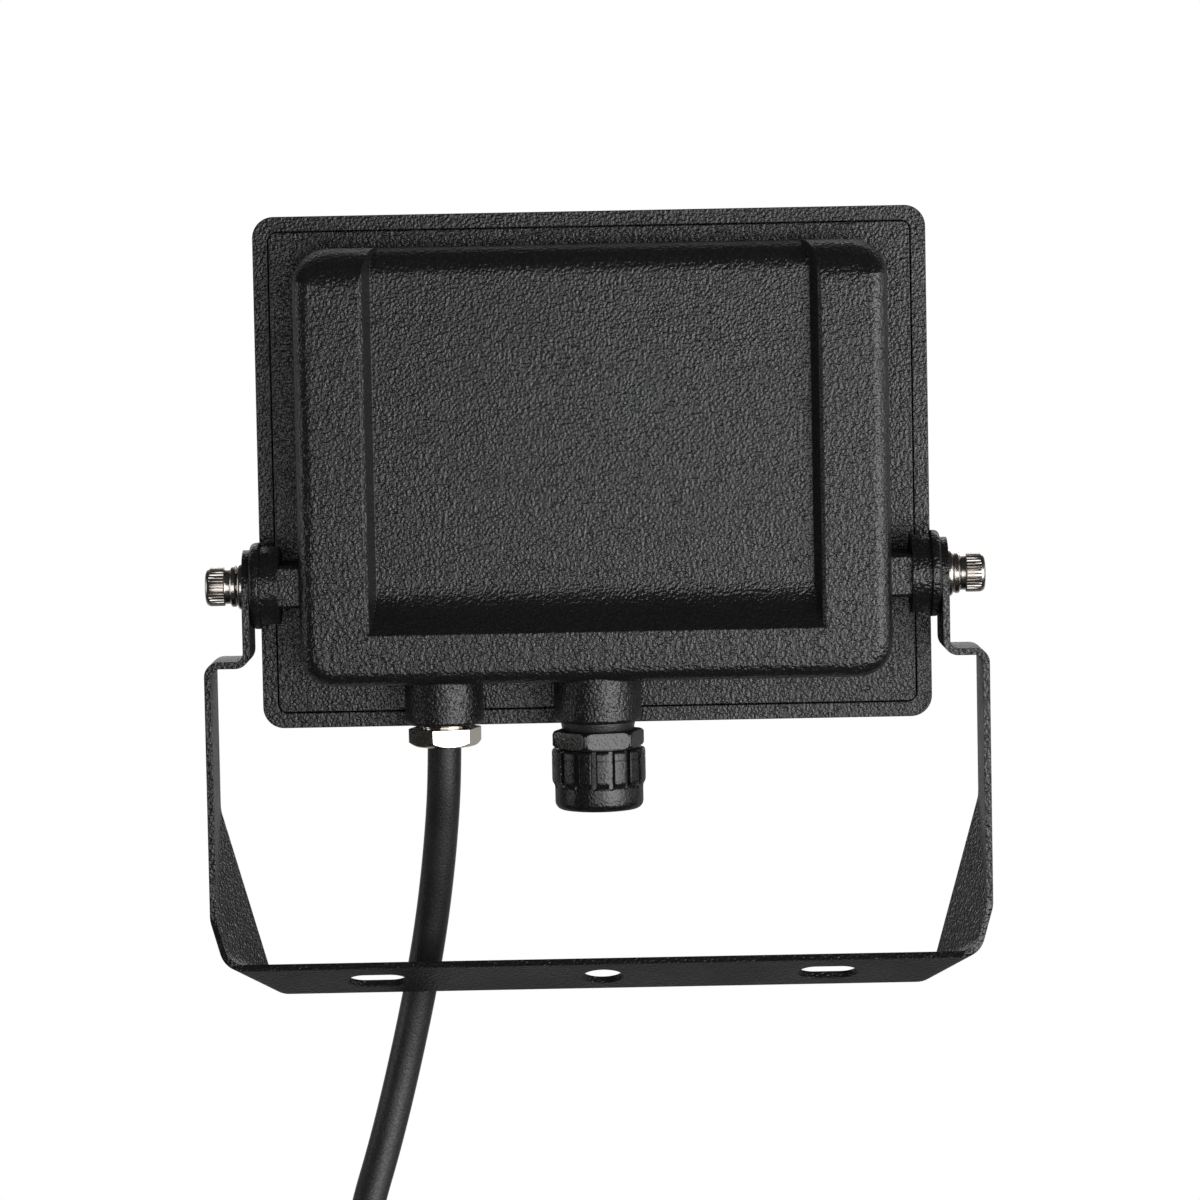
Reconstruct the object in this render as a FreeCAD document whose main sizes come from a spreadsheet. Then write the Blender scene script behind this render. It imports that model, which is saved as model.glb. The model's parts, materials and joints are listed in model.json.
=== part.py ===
import FreeCAD, Part
import math
import os
import re

import Sketcher
from FreeCAD import Rotation, Vector

# Motion sensor floodlight. Millimetres. X to the right, Y away from the rear viewer and towards the
# glass, Z up. The origin is the centre of the middle hole of the base strip, halfway through the strip.
# Pieces of the head are drawn about the pivot axis and then placed at the pivot.

SIZES = [
    ("strip_width", 18.5, "width of the bracket strip"),
    ("strip_thick", 1.8, "thickness of the bracket strip"),
    ("joggle_out", 10.0, "sideways step of an arm"),
    ("joggle_drop", 19.6, "pivot axis down to the middle of the step"),
    ("joggle_bend", 2.0, "inner radius of the step bends"),
    ("crease_drop", 71.5, "pivot axis down to the middle of the crease"),
    ("crease_slant", 34.5, "degrees between crease and strip"),
    ("crease_fold", 29.2, "degrees folded at the crease"),
    ("crease_bend", 2.0, "inner radius of the crease"),
    ("foot_length", 29.9, "crease to base fold along the middle"),
    ("base_bend", 3.4, "inner radius of the base fold"),
    ("arm_hole", 6.4, "hole for the pivot screw"),
    ("centre_hole", 10.6, "centre hole of the base strip"),
    ("slot_length", 15.5, "length of a base slot"),
    ("slot_width", 9.0, "width of a base slot"),
    ("slot_offset", 58.0, "centre to slot centre"),
    ("frame_side", 11.5, "hump side to the frame side"),
    ("frame_over", 8.6, "hump top up to the frame top"),
    ("frame_under", 12.6, "hump bottom down to the frame bottom"),
    ("frame_corner", 5.5, "corner radius of the frame"),
    ("frame_back", 12.0, "pivot axis to the back of the frame"),
    ("frame_edge", 1.5, "rounding of the front edge"),
    ("rim", 3.8, "width of the rim behind the glass"),
    ("seam", 0.4, "open seam around the flange"),
    ("lip", 11.0, "width of the front lip"),
    ("lip_thick", 3.5, "thickness of the front lip"),
    ("flange_thick", 3.0, "thickness of the housing flange"),
    ("gasket_thick", 1.5, "thickness of the glass gasket"),
    ("gasket_width", 6.0, "width of the glass gasket"),
    ("glass_thick", 4.0, "thickness of the glass"),
    ("glass_play", 1.3, "play around the glass"),
    ("glass_corner", 2.0, "corner radius of the glass and what lies under it"),
    ("window_corner", 3.0, "corner radius of the frame window"),
    ("gasket_corner", 4.0, "inner corner radius of the glass gasket"),
    ("hump_half", 75.5, "half width of the hump"),
    ("hump_top", 86.0, "pivot axis up to the hump top"),
    ("hump_bottom", 25.5, "pivot axis down to the hump bottom"),
    ("hump_corner", 9.0, "corner radius of the hump"),
    ("hump_back", 13.0, "pivot axis to the back of the hump"),
    ("hump_edge", 4.2, "rounding of the back edge of the hump"),
    ("brow_edge", 10.5, "rounding along the top of the hump"),
    ("wall", 2.5, "wall of the casting"),
    ("channel_side", 17.6, "hump side to the channel"),
    ("channel_slope", 2.0, "sideways slope of a channel wall"),
    ("channel_deep", 6.0, "depth of the channel"),
    ("channel_end", 12.5, "pivot axis down to the channel end"),
    ("ramp_length", 8.0, "length of the ramp at the channel end"),
    ("ramp_bend", 12.0, "radius between ramp and channel floor"),
    ("channel_brow", 7.5, "radius at the top of the channel floor"),
    ("channel_edge", 0.8, "bevel of the channel rim"),
    ("pocket_over", 11.0, "hump top down to the side pockets"),
    ("pocket_side", 3.3, "channel side to a side pocket"),
    ("pocket_wall", 3.1, "wall beside and below the pockets"),
    ("pocket_low", 7.5, "hump bottom up to the side pockets"),
    ("trough_side", 8.0, "hump side to the low pocket"),
    ("lug_height", 11.0, "height of a pivot lug"),
    ("lug_length", 6.0, "hump side to the end of a lug"),
    ("lug_edge", 0.8, "bevel of a lug"),
    ("lug_back", 8.0, "pivot axis to the back of a lug"),
    ("ring_radius", 10.0, "radius of the pivot boss"),
    ("ring_sink", 0.6, "start of the boss inside the end of the lug"),
    ("ring_length", 5.0, "length of the pivot boss"),
    ("disc_radius", 11.1, "radius of the friction disc"),
    ("disc_thick", 2.5, "thickness of the friction disc"),
    ("disc_edge", 1.4, "bevel of the friction disc"),
    ("screw_radius", 3.0, "radius of the pivot screw"),
    ("screw_length", 16.0, "length of the pivot screw"),
    ("screw_tip", 0.6, "bevel at the end of the pivot screw"),
    ("thread_play", 0.05, "play around the pivot screw"),
    ("head_radius", 5.0, "radius of the screw head"),
    ("head_height", 6.3, "height of the screw head"),
    ("head_edge", 0.8, "bevel of the screw head"),
    ("neck_length", 1.6, "plain part under the knurl"),
    ("neck_step", 0.5, "knurl standing out over the neck"),
    ("neck_slope", 0.4, "height of the step between neck and knurl"),
    ("key_width", 5.0, "hexagon socket of the screw"),
    ("key_depth", 3.0, "depth of the hexagon socket"),
    ("washer_radius", 6.0, "radius of the flat washer"),
    ("washer_thick", 1.6, "thickness of the flat washer"),
    ("spring_radius", 5.3, "radius of the spring washer"),
    ("spring_thick", 1.8, "thickness of the spring washer"),
    ("split_gap", 1.0, "gap of the spring washer"),
    ("gland_left", 39.4, "centre to the gland axis"),
    ("gland_boss", 10.05, "radius of the gland boss"),
    ("boss_under", 10.9, "hump bottom down to the boss ends"),
    ("boss_edge", 1.0, "rounding of the lower edge of a boss"),
    ("boss_drill", 19.0, "boss end up to the end of its hole"),
    ("gland_neck", 6.5, "radius of the gland thread"),
    ("gland_hex", 9.5, "corner radius of the gland hexagon"),
    ("gland_hex_high", 4.75, "height of the gland hexagon"),
    ("gland_turn", 13.0, "degrees that the gland hexagon is turned"),
    ("gland_bevel_wide", 1.6, "width of the bevel of the gland hexagon"),
    ("gland_bevel_high", 1.2, "height of the bevel of the gland hexagon"),
    ("gland_play", 0.3, "play between the cord and the gland screw"),
    ("gland_ring_radius", 7.2, "radius of the gland washer"),
    ("gland_ring_thick", 0.9, "thickness of the gland washer"),
    ("gland_thread", 12.0, "length of the gland thread"),
    ("gland_seat", 9.0, "depth of the seal seat in the gland"),
    ("seal_radius", 5.7, "radius of the gland seal"),
    ("sensor_boss", 11.2, "radius of the sensor boss"),
    ("socket_neck", 8.0, "radius of the socket thread in the boss"),
    ("socket_hex", 12.2, "corner radius of the socket hexagon"),
    ("socket_hex_high", 4.05, "height of the socket hexagon"),
    ("socket_turn", 13.4, "degrees that the socket hexagon is turned"),
    ("socket_bevel_wide", 0.8, "width of the bevel of the socket hexagon"),
    ("socket_bevel_high", 0.6, "height of the bevel of the socket hexagon"),
    ("socket_thread", 13.0, "length of the socket thread in the boss"),
    ("collar_high", 2.4, "height of the socket gasket"),
    ("collar_radius", 9.65, "radius of the socket gasket"),
    ("collar_cone", 0.5, "how much narrower the gasket is below"),
    ("plug_radius", 9.0, "radius of the thread under the cap"),
    ("plug_length", 12.0, "length of the thread under the cap"),
    ("socket_bore", 6.2, "bore of the socket"),
    ("socket_floor", 3.0, "floor that carries the contacts"),
    ("contact_radius", 1.0, "radius of a contact pin"),
    ("contact_length", 12.0, "length of a contact pin"),
    ("contact_sink", 0.5, "rim of the socket to the tips of the pins"),
    ("contact_circle", 3.4, "radius of the circle of pins"),
    ("cap_radius", 12.05, "radius of the cap over the ribs"),
    ("cap_barrel", 11.35, "radius of the cap below the ribs"),
    ("cap_high", 15.6, "height of the cap"),
    ("cap_floor", 2.6, "floor of the cap"),
    ("cap_play", 0.15, "play around the thread"),
    ("cap_edge", 1.8, "bevel of the cap end"),
    ("cap_plain", 4.0, "height of the plain barrel"),
    ("cap_step", 0.6, "height of the slope above the plain barrel"),
    ("cap_bevel", 0.5, "bevel of the upper cap edge"),
    ("cap_ring", 0.55, "thickness of the cap seal"),
    ("cap_ring_radius", 10.15, "radius of the cap seal"),
    ("groove_width", 2.2, "width of a groove of the cap"),
    ("groove_high", 9.4, "length of a groove of the cap"),
    ("groove_sink", 0.35, "groove floor inside the plain barrel"),
    ("cap_grooves", 16, "number of grooves of the cap"),
    ("board_side", 5.0, "inner side wall to the board"),
    ("board_under", 13.0, "inner bottom wall to the board"),
    ("board_over", 5.5, "inner top wall to the board"),
    ("board_thick", 1.6, "thickness of the board"),
    ("board_hole_in", 4.0, "board side to hole centre"),
    ("board_hole_up", 5.0, "board edge to hole centre"),
    ("board_screw", 1.5, "radius of a board screw"),
    ("board_screw_deep", 6.0, "length of a board screw"),
    ("board_head", 2.8, "radius of the head of a board screw"),
    ("board_head_high", 2.0, "height of that head"),
    ("board_head_edge", 0.6, "bevel of that head"),
    ("post_radius", 3.5, "radius of a post under the board"),
    ("chip_wide", 3.5, "width of a light chip"),
    ("chip_tall", 2.8, "height of a light chip"),
    ("chip_thick", 0.8, "thickness of a light chip"),
    ("chip_pitch_wide", 11.0, "pitch of the chips across"),
    ("chip_pitch_tall", 10.0, "pitch of the chips upwards"),
    ("chip_low", 31.0, "pivot axis up to the lowest row"),
    ("chip_columns", 8, "light chips in a row"),
    ("chip_rows", 5, "rows of light chips"),
    ("tray_half", 46.0, "half width of the tray opening"),
    ("tray_low", 24.0, "pivot axis up to the tray opening"),
    ("tray_over", 9.0, "hump top down to the tray opening"),
    ("tray_back", 1.2, "board to the back of the tray"),
    ("tray_wall", 1.0, "wall of the tray"),
    ("tray_rim", 2.0, "rim of the tray at the glass"),
    ("tray_play", 0.6, "play between tray and casting"),
    ("cord_radius", 4.35, "radius of the supply cord"),
    ("cord_play", 0.15, "play between the cord and its seal"),
    ("core_radius", 1.2, "radius of a core"),
    ("core_length", 36.0, "bared length of the cores"),
    ("ferrule_radius", 1.45, "radius of an end sleeve"),
    ("ferrule_length", 9.0, "length of an end sleeve"),
    ("cord_gap", 0.1, "gap between the lengths of the cord"),
    ("coil_radius", 44.5, "radius of the coil at the cord centre"),
    ("coil_edge", 2.5, "bevel of the outer shape of the coil"),
    ("coil_pitch", 9.2, "shift of the coil for each turn"),
    ("coil_turns", 3.0, "turns of the coil"),
    ("coil_entry", 28.0, "straight length that leads into the coil"),
    ("coil_exit", 30.0, "straight length that leaves the coil"),
    ("core_spread", 2.2, "cord centre to the centre of a core"),
    ("lead_radius", 0.7, "radius of a thin lead"),
    ("lead_bend", 3.0, "radius of the bends of the leads"),
    ("supply_spread", 2.6, "spacing of the cores at the cord end"),
    ("supply_rise", 3.5, "cord end up to the lowest crossing core"),
    ("supply_step", 3.0, "height between crossing cores"),
    ("supply_slope", 2.5, "rise of a core along its crossing"),
    ("sensor_level", 5.5, "hump bottom up to the lowest crossing lead"),
    ("sensor_step", 2.5, "height between crossing leads"),
    ("sensor_slope", 3.0, "rise of a lead along its crossing"),
    ("sensor_side", 16.0, "board side to the outermost sensor lead"),
    ("sensor_pitch", 4.0, "pitch of the sensor leads on the board"),
    ("sensor_end", 4.0, "board edge up to the ends of the sensor leads"),
    ("tie_width", 4.8, "width of the tie"),
    ("tie_thick", 1.3, "thickness of the tie"),
    ("tie_play", 0.3, "play between the tie and the cord"),
    ("lock_wide", 6.8, "width of the lock of the tie"),
    ("lock_deep", 6.0, "depth of the lock of the tie"),
    ("lock_high", 4.0, "height of the lock of the tie"),
    ("lock_back", 4.0, "first turn to the lock of the tie"),
    ("overlap", 1.0, "how far a tool reaches past a face"),
    ("terminal_mouth", 1.7, "radius of a mouth of the terminal block"),
    ("terminal_pitch", 5.6, "pitch of those mouths"),
    ("terminal_first", 2.8, "side of the block to its first mouth"),
    ("terminal_deep", 6.0, "depth of those mouths"),
    ("lead_grip", 3.0, "depth of a core in its mouth"),
]

# Parts of the driver: name, board side to part side, board edge up to part, width, height, thickness.
DRIVER_PARTS = [
    ("terminal", 8.0, 2.0, 17.0, 8.0, 8.0),
    ("fuse", 32.0, 9.0, 8.0, 4.0, 3.2),
    ("rectifier", 46.0, 14.0, 6.5, 5.0, 2.4),
    ("varistor", 50.0, 2.5, 8.0, 8.0, 3.2),
    ("driver_left", 70.0, 14.0, 5.0, 4.0, 1.5),
    ("driver_right", 82.0, 14.0, 5.0, 4.0, 1.5),
    ("capacitor", 94.0, 6.5, 8.0, 8.0, 4.6),
]
for part_name, *part_sizes in DRIVER_PARTS:
    for measure, number in zip(("left", "low", "wide", "tall", "thick"), part_sizes):
        SIZES.append((f"{part_name}_{measure}", number, f"{measure} size of the {part_name} part"))

# Sizes that follow from others.
SUMS = {
    "frame_half": "hump_half + frame_side",
    "frame_top": "hump_top + frame_over",
    "frame_bottom": "hump_bottom + frame_under",
    "frame_depth": "flange_thick + gasket_thick + glass_thick + lip_thick",
    "glass_back": "frame_back + flange_thick + gasket_thick",
    "channel_half": "hump_half - channel_side",
    "channel_floor": "channel_deep - hump_back",
    "inner_half": "hump_half - wall",
    "inner_top": "hump_top - wall",
    "inner_bottom": "hump_bottom - wall",
    "lug_out": "hump_half + lug_length",
    "ring_inside": "lug_out - ring_sink",
    "ring_outside": "ring_inside + ring_length",
    "arm_inside": "ring_outside + disc_thick",
    "arm_outside": "arm_inside + strip_thick",
    "spring_start": "arm_outside + washer_thick",
    "head_start": "spring_start + spring_thick",
    "boss_bottom": "hump_bottom + boss_under",
    "socket_low": "boss_bottom + collar_high + socket_hex_high",
    "board_half": "inner_half - board_side",
    "board_top": "inner_top - board_over",
    "board_bottom": "inner_bottom - board_under",
    "board_back": "channel_floor + wall",
    "board_front": "board_back + board_thick",
    "coil_depth": "coil_turns * coil_pitch",
}

BEND_STEPS = 8
CORES = 3

# Middle line of the hanging cord, from the housing to the coil, about the pivot.
CORD_POINTS = [
    (-39.4, 0.0, -22.0),
    (-39.4, 0.0, -46.0),
    (-41.5, 6.5, -70.0),
    (-45.2, 14.0, -95.0),
    (-50.8, 17.5, -121.0),
    (-57.4, 15.5, -147.0),
    (-63.8, 9.5, -167.0),
    (-66.0, 5.0, -184.0),
    (-66.0, 5.0, -200.0),
]
ARC_SHARE = 0.45

X_AXIS = Vector(1, 0, 0)
Y_AXIS = Vector(0, 1, 0)
Z_AXIS = Vector(0, 0, 1)
FACING_BACK = Rotation(X_AXIS, 90)
ALONG_X = Rotation(Y_AXIS, 90)
AHEAD = Rotation(X_AXIS, -90)
NO_TURN = Rotation()

doc = FreeCAD.newDocument("floodlight")
sheet = doc.addObject("Spreadsheet::Sheet", "Sizes")
NAMES = {name for name, _, _ in SIZES}
nodes = []


def fill_sheet():
    for row, (name, number, note) in enumerate(SIZES, start=1):
        sheet.set(f"A{row}", name)
        sheet.set(f"B{row}", str(number))
        sheet.set(f"C{row}", note)
        sheet.setAlias(f"B{row}", name)
    doc.recompute()


def add_pivot(strip):
    """Write where the pivot comes to lie above the base strip."""
    middle = strip.spot + strip.outward * (size("strip_thick") / 2)
    cells = (("pivot_ahead", -middle.y), ("pivot_up", -middle.z))
    for row, (name, number) in enumerate(cells, start=len(SIZES) + 1):
        sheet.set(f"A{row}", name)
        sheet.set(f"B{row}", str(number))
        sheet.setAlias(f"B{row}", name)
        NAMES.add(name)
    doc.recompute()


def linked_word(word):
    if word[0] in SUMS:
        return f"({link(SUMS[word[0]])})"
    return "Sizes." + word[0] if word[0] in NAMES else word[0]


def link(text):
    """Write a sum of size names as an expression on the sheet."""
    return re.sub(r"[a-z_]{3,}", linked_word, str(text))


def size(text):
    """Number that a sum of size names comes to."""
    return float(sheet.evalExpression(link(text)))


def bind(obj, **sums):
    for prop, text in sums.items():
        obj.setExpression(prop, link(text))
    return obj


def bind_place(obj, at, turn=NO_TURN):
    obj.Placement = FreeCAD.Placement(Vector(), turn)
    for letter, text in zip("xyz", at):
        obj.setExpression("Placement.Base." + letter, link(text))
    return obj


def block(name, at, **sums):
    obj = bind(doc.addObject("Part::Box", name), **sums)
    return bind_place(obj, at)


def rod(name, at, radius, length, turn=NO_TURN):
    obj = bind(doc.addObject("Part::Cylinder", name), Radius=radius, Height=length)
    return bind_place(obj, at, turn)


def hexagon(name, at, radius, length, turn=NO_TURN):
    obj = doc.addObject("Part::Prism", name)
    obj.Polygon = 6
    bind(obj, Circumradius=radius, Height=length)
    return bind_place(obj, at, turn)


def joined(name, parts):
    obj = doc.addObject("Part::MultiFuse", name)
    obj.Shapes = parts
    obj.Refine = True
    doc.recompute()
    return obj


def shared(name, parts):
    obj = doc.addObject("Part::MultiCommon", name)
    obj.Shapes = parts
    obj.Refine = True
    doc.recompute()
    return obj


def cut(name, base, tools):
    tool = tools[0] if len(tools) == 1 else joined(name + "_tools", tools)
    obj = doc.addObject("Part::Cut", name)
    obj.Base = base
    obj.Tool = tool
    obj.Refine = True
    doc.recompute()
    return obj


def feature(name, shape):
    obj = doc.addObject("Part::Feature", name)
    obj.Shape = shape
    return obj


def fillet(name, base, radius, wanted, kind="Part::Fillet"):
    """Round or bevel the edges of base for which wanted(edge) is true."""
    obj = doc.addObject(kind, name)
    obj.Base = base
    picked = [i for i, edge in enumerate(base.Shape.Edges, start=1) if wanted(edge)]
    obj.Edges = [(i, radius, radius) for i in picked]
    doc.recompute()
    return obj


def bevel(name, base, width, wanted):
    return fillet(name, base, width, wanted, "Part::Chamfer")


def outline(name, points):
    return drawn(doc.addObject("Sketcher::SketchObject", name), points)


def drawn(sketch, points):
    """Closed loop through points whose coordinates are sums of size names."""
    spots = [[size(text) for text in point] for point in points]
    count = len(points)
    for i, (x, y) in enumerate(spots):
        ahead = spots[(i + 1) % count]
        sketch.addGeometry(Part.LineSegment(Vector(x, y, 0), Vector(ahead[0], ahead[1], 0)), False)
    for i in range(count):
        sketch.addConstraint(Sketcher.Constraint("Coincident", i, 2, (i + 1) % count, 1))
    for i, (x, y) in enumerate(spots):
        bind_corner(sketch, i, x, y, points[i])
    return sketch


def bind_corner(sketch, i, x, y, sums):
    across = sketch.addConstraint(Sketcher.Constraint("DistanceX", -1, 1, i, 1, x))
    upward = sketch.addConstraint(Sketcher.Constraint("DistanceY", -1, 1, i, 1, y))
    sketch.setExpression(f"Constraints[{across}]", link(sums[0]))
    sketch.setExpression(f"Constraints[{upward}]", link(sums[1]))


def pushed(name, sketch, direction, length):
    obj = doc.addObject("Part::Extrusion", name)
    obj.Base = sketch
    obj.DirMode = "Custom"
    obj.Dir = direction
    obj.Solid = True
    bind(obj, LengthFwd=length)
    doc.recompute()
    return obj


def slab(name, left, right, low, high, back, depth):
    """Rectangular solid between two planes that face the viewer."""
    corners = [(left, low), (right, low), (right, high), (left, high)]
    sketch = outline(name + "_sketch", corners)
    bind_place(sketch, ("0", back, "0"), FACING_BACK)
    return pushed(name, sketch, Y_AXIS, depth)


def along_y(edge):
    if len(edge.Vertexes) < 2:
        return False
    run = edge.Vertexes[1].Point - edge.Vertexes[0].Point
    return abs(run.y) > 0.999 * run.Length and run.Length > 0.1


def round_slab(name, left, right, low, high, back, depth, corner):
    body = slab(name + "_block", left, right, low, high, back, depth)
    return fillet(name, body, size(corner), along_y)


def turned(name, points, at=("0", "0", "0"), turn=NO_TURN):
    """Solid of revolution about its own Z from (radius, height) corners."""
    sketch = outline(name + "_sketch", points)
    sketch.Placement = FreeCAD.Placement(Vector(), FACING_BACK)
    obj = doc.addObject("Part::Revolution", name)
    obj.Source = sketch
    obj.Axis = Z_AXIS
    obj.Angle = 360
    obj.Solid = True
    bind_place(obj, at, turn)
    doc.recompute()
    return obj


def finish(obj, name):
    """Make obj the named piece and move it from the pivot to its place."""
    obj.Label = name
    bound = {path.strip("."): text for path, text in obj.ExpressionEngine}
    for letter, shift in (("y", "pivot_ahead"), ("z", "pivot_up")):
        path = "Placement.Base." + letter
        start = bound.get(path, "0")
        obj.setExpression(path, f"{start} + {link(shift)}")
    nodes.append(obj)


def turned_about(point, centre, axis, angle):
    return centre + Rotation(axis, math.degrees(angle)).multVec(point - centre)


class Strip:
    """A strip of sheet metal that is followed along its middle line, on the inner face."""

    def __init__(self, start, along, across, outward):
        self.spot = start
        self.along = along
        self.across = across
        self.outward = outward
        self.pieces = []
        self.end = None

    def section(self, crease):
        """Corners of the strip cut along a crease direction."""
        reach = crease * (size("strip_width") / 2 / crease.dot(self.across))
        thick = self.outward * size("strip_thick")
        near, far = self.spot - reach, self.spot + reach
        return [near, far, far + thick, near + thick]

    def flat(self, length, crease):
        """Add a flat length that ends at a crease direction."""
        start = self.end or self.section(self.across)
        self.spot = self.spot + self.along * length
        self.end = self.section(crease)
        face = polygon([start[0], start[1], self.end[1], self.end[0]])
        self.pieces.append(face.extrude(self.outward * size("strip_thick")))

    def bend(self, crease, angle, radius, inward=True):
        """Roll the strip about a crease; a slanted crease also shifts it sideways."""
        lean = crease.dot(self.along)
        square = self.along - crease * lean
        spread = square.Length
        square = square / spread
        thick = size("strip_thick")
        side = -1 if inward else 1
        depth = radius if inward else radius + thick
        centre = self.spot + self.outward * (side * depth)
        axis = square.cross(self.outward * side)
        shift = crease * ((radius + thick / 2) * angle * lean / spread)
        wires = []
        for i in range(BEND_STEPS + 1):
            part = i / BEND_STEPS
            corners = [turned_about(p, centre, axis, angle * part) + shift * part for p in self.end]
            wires.append(Part.makePolygon(corners + corners[:1]))
        self.pieces.append(Part.makeLoft(wires, True, False))
        self.end = corners
        roll = Rotation(axis, math.degrees(angle))
        self.spot = centre + roll.multVec(self.spot - centre) + shift
        self.along = roll.multVec(self.along)
        self.across = roll.multVec(self.across)
        self.outward = roll.multVec(self.outward)


def polygon(points):
    return Part.Face(Part.makePolygon(list(points) + [points[0]]))


def folded_arm():
    """Left arm from the pivot to the end of the base fold."""
    strip = Strip(Vector(-size("arm_inside"), 0, 0), -Z_AXIS, Y_AXIS, -X_AXIS)
    thick, joggle = size("strip_thick"), size("joggle_bend")
    strip.flat(size("joggle_drop") - joggle - thick / 2, Y_AXIS)
    strip.bend(Y_AXIS, math.pi / 2, joggle, inward=False)
    strip.flat(size("joggle_out") - 2 * joggle - thick, Y_AXIS)
    strip.bend(Y_AXIS, math.pi / 2, joggle)
    slant = math.radians(size("crease_slant"))
    fold = math.radians(size("crease_fold"))
    crease = Vector(0, math.sin(slant), math.cos(slant))
    ease = size("crease_bend") * math.tan(fold / 2) / math.sin(slant)
    strip.flat(size("crease_drop") + strip.spot.z - ease, crease)
    strip.bend(crease, fold, size("crease_bend"))
    crease, fold = base_fold(strip)
    spread = crease.cross(strip.along).Length
    base_ease = size("base_bend") * math.tan(fold / 2) / spread
    strip.flat(size("foot_length") - ease - base_ease, crease)
    strip.bend(crease, fold, size("base_bend"))
    return strip


def base_fold(strip):
    """Crease and angle that lay the strip exactly along the base."""
    slant = math.atan2(1 - strip.along.x, strip.across.x)
    crease = strip.along * math.cos(slant) + strip.across * math.sin(slant)
    before = strip.along - crease * strip.along.dot(crease)
    after = X_AXIS - crease * crease.x
    return crease, before.getAngle(after)


def mirrored(shape):
    return shape.mirror(Vector(), X_AXIS)


def arm_end():
    """Half-round end of the left arm about the pivot axis."""
    base = Vector(-size("arm_inside") - size("strip_thick"), 0, 0)
    disc = Part.makeCylinder(size("strip_width") / 2, size("strip_thick"), base, X_AXIS)
    hole = Part.makeCylinder(size("arm_hole") / 2, size("strip_thick"), base, X_AXIS)
    return disc, hole


def make_bracket(strip):
    base = [strip.end[0], strip.end[1]]
    other = [Vector(-p.x, p.y, p.z) for p in base]
    bottom = polygon([base[0], base[1], other[1], other[0]])
    bottom = bottom.extrude(strip.outward * size("strip_thick"))
    disc, hole = arm_end()
    arm = disc.multiFuse(strip.pieces).cut(hole)
    whole = bottom.multiFuse([arm, mirrored(arm)]).removeSplitter()
    folded = feature("bracket_folded", whole)
    holes = [base_rod("centre_drill", "0", "centre_hole / 2", strip)]
    holes += [base_slot("left_slot", "-slot_offset", strip)]
    holes += [base_slot("right_slot", "slot_offset", strip)]
    return cut("bracket_cut", folded, holes)


def base_turn(strip):
    return Rotation(X_AXIS, strip.across, strip.outward * -1, "XYZ")


def base_rod(name, across, radius, strip):
    """Drill square to the base strip."""
    obj = bind(doc.addObject("Part::Cylinder", name), Radius=radius, Height="3 * strip_thick")
    start = strip.spot + strip.outward * (2 * size("strip_thick"))
    obj.Placement = FreeCAD.Placement(start, base_turn(strip))
    obj.setExpression("Placement.Base.x", link(across))
    return obj


def base_slot(name, centre, strip):
    half = "(slot_length - slot_width) / 2"
    left = base_rod(name + "_left", f"{centre} - {half}", "slot_width / 2", strip)
    right = base_rod(name + "_right", f"{centre} + {half}", "slot_width / 2", strip)
    obj = bind(doc.addObject("Part::Box", name + "_middle"), Width="slot_width",
               Length="slot_length - slot_width", Height="3 * strip_thick")
    start = strip.spot + strip.outward * (2 * size("strip_thick"))
    start = start - strip.across * (size("slot_width") / 2)
    obj.Placement = FreeCAD.Placement(start, base_turn(strip))
    obj.setExpression("Placement.Base.x", link(f"{centre} - {half}"))
    return joined(name, [left, right, obj])


def make_frame():
    block_out = round_slab("frame_block", "-frame_half", "frame_half", "-frame_bottom", "frame_top",
                           "frame_back", "frame_depth", "frame_corner")
    front = size("frame_back + frame_depth")
    soft = fillet("frame_soft", block_out, size("frame_edge"),
                  lambda edge: edge.BoundBox.YMin > front - 0.01)
    inner = ("rim - frame_half", "frame_half - rim", "rim - frame_bottom", "frame_top - rim")
    pocket = round_slab("frame_pocket", *inner, "frame_back", "frame_depth - lip_thick",
                        "frame_corner - rim + overlap")
    window = round_slab("frame_window", "lip - frame_half", "frame_half - lip", "lip - frame_bottom",
                        "frame_top - lip", "frame_back", "2 * frame_depth", "window_corner")
    return cut("frame_cut", soft, [pocket, window])


def within_frame(margin):
    """Left, right, low and high side of a piece that lies a margin inside the frame."""
    return (f"{margin} - frame_half", f"frame_half - ({margin})",
            f"{margin} - frame_bottom", f"frame_top - ({margin})")


def make_glass():
    return round_slab("glass_pane", *within_frame("rim + glass_play"), "glass_back", "glass_thick",
                      "glass_corner")


def make_gasket():
    whole = round_slab("gasket_sheet", *within_frame("rim + glass_play"), "frame_back + flange_thick",
                       "gasket_thick", "glass_corner")
    hole = round_slab("gasket_hole", *within_frame("rim + glass_play + gasket_width"), "0",
                      "3 * frame_back", "gasket_corner")
    return cut("gasket_cut", whole, [hole])


def hump_block():
    """Hump with a softly rounded back and a larger rounding along the top."""
    body = round_slab("hump_block", "-hump_half", "hump_half", "-hump_bottom", "hump_top", "-hump_back",
                      "hump_back + frame_back + flange_thick", "hump_corner")
    back, top = -size("hump_back"), size("hump_top")

    def on_back(edge):
        return edge.BoundBox.YMax < back + 0.01

    def along_top(edge):
        return on_back(edge) and edge.BoundBox.ZMin > top - 0.01

    edges = enumerate(body.Shape.Edges, start=1)
    obj = doc.addObject("Part::Fillet", "hump_soft")
    obj.Base = body
    plain, brow = size("hump_edge"), size("brow_edge")
    rows = []
    for i, edge in edges:
        if along_top(edge):
            rows.append((i, brow, brow))
        elif on_back(edge) and edge.BoundBox.ZMax > top - 0.01:
            rows.append(corner_row(i, edge, plain, brow))
        elif on_back(edge):
            rows.append((i, plain, plain))
    obj.Edges = rows
    doc.recompute()
    return obj


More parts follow.
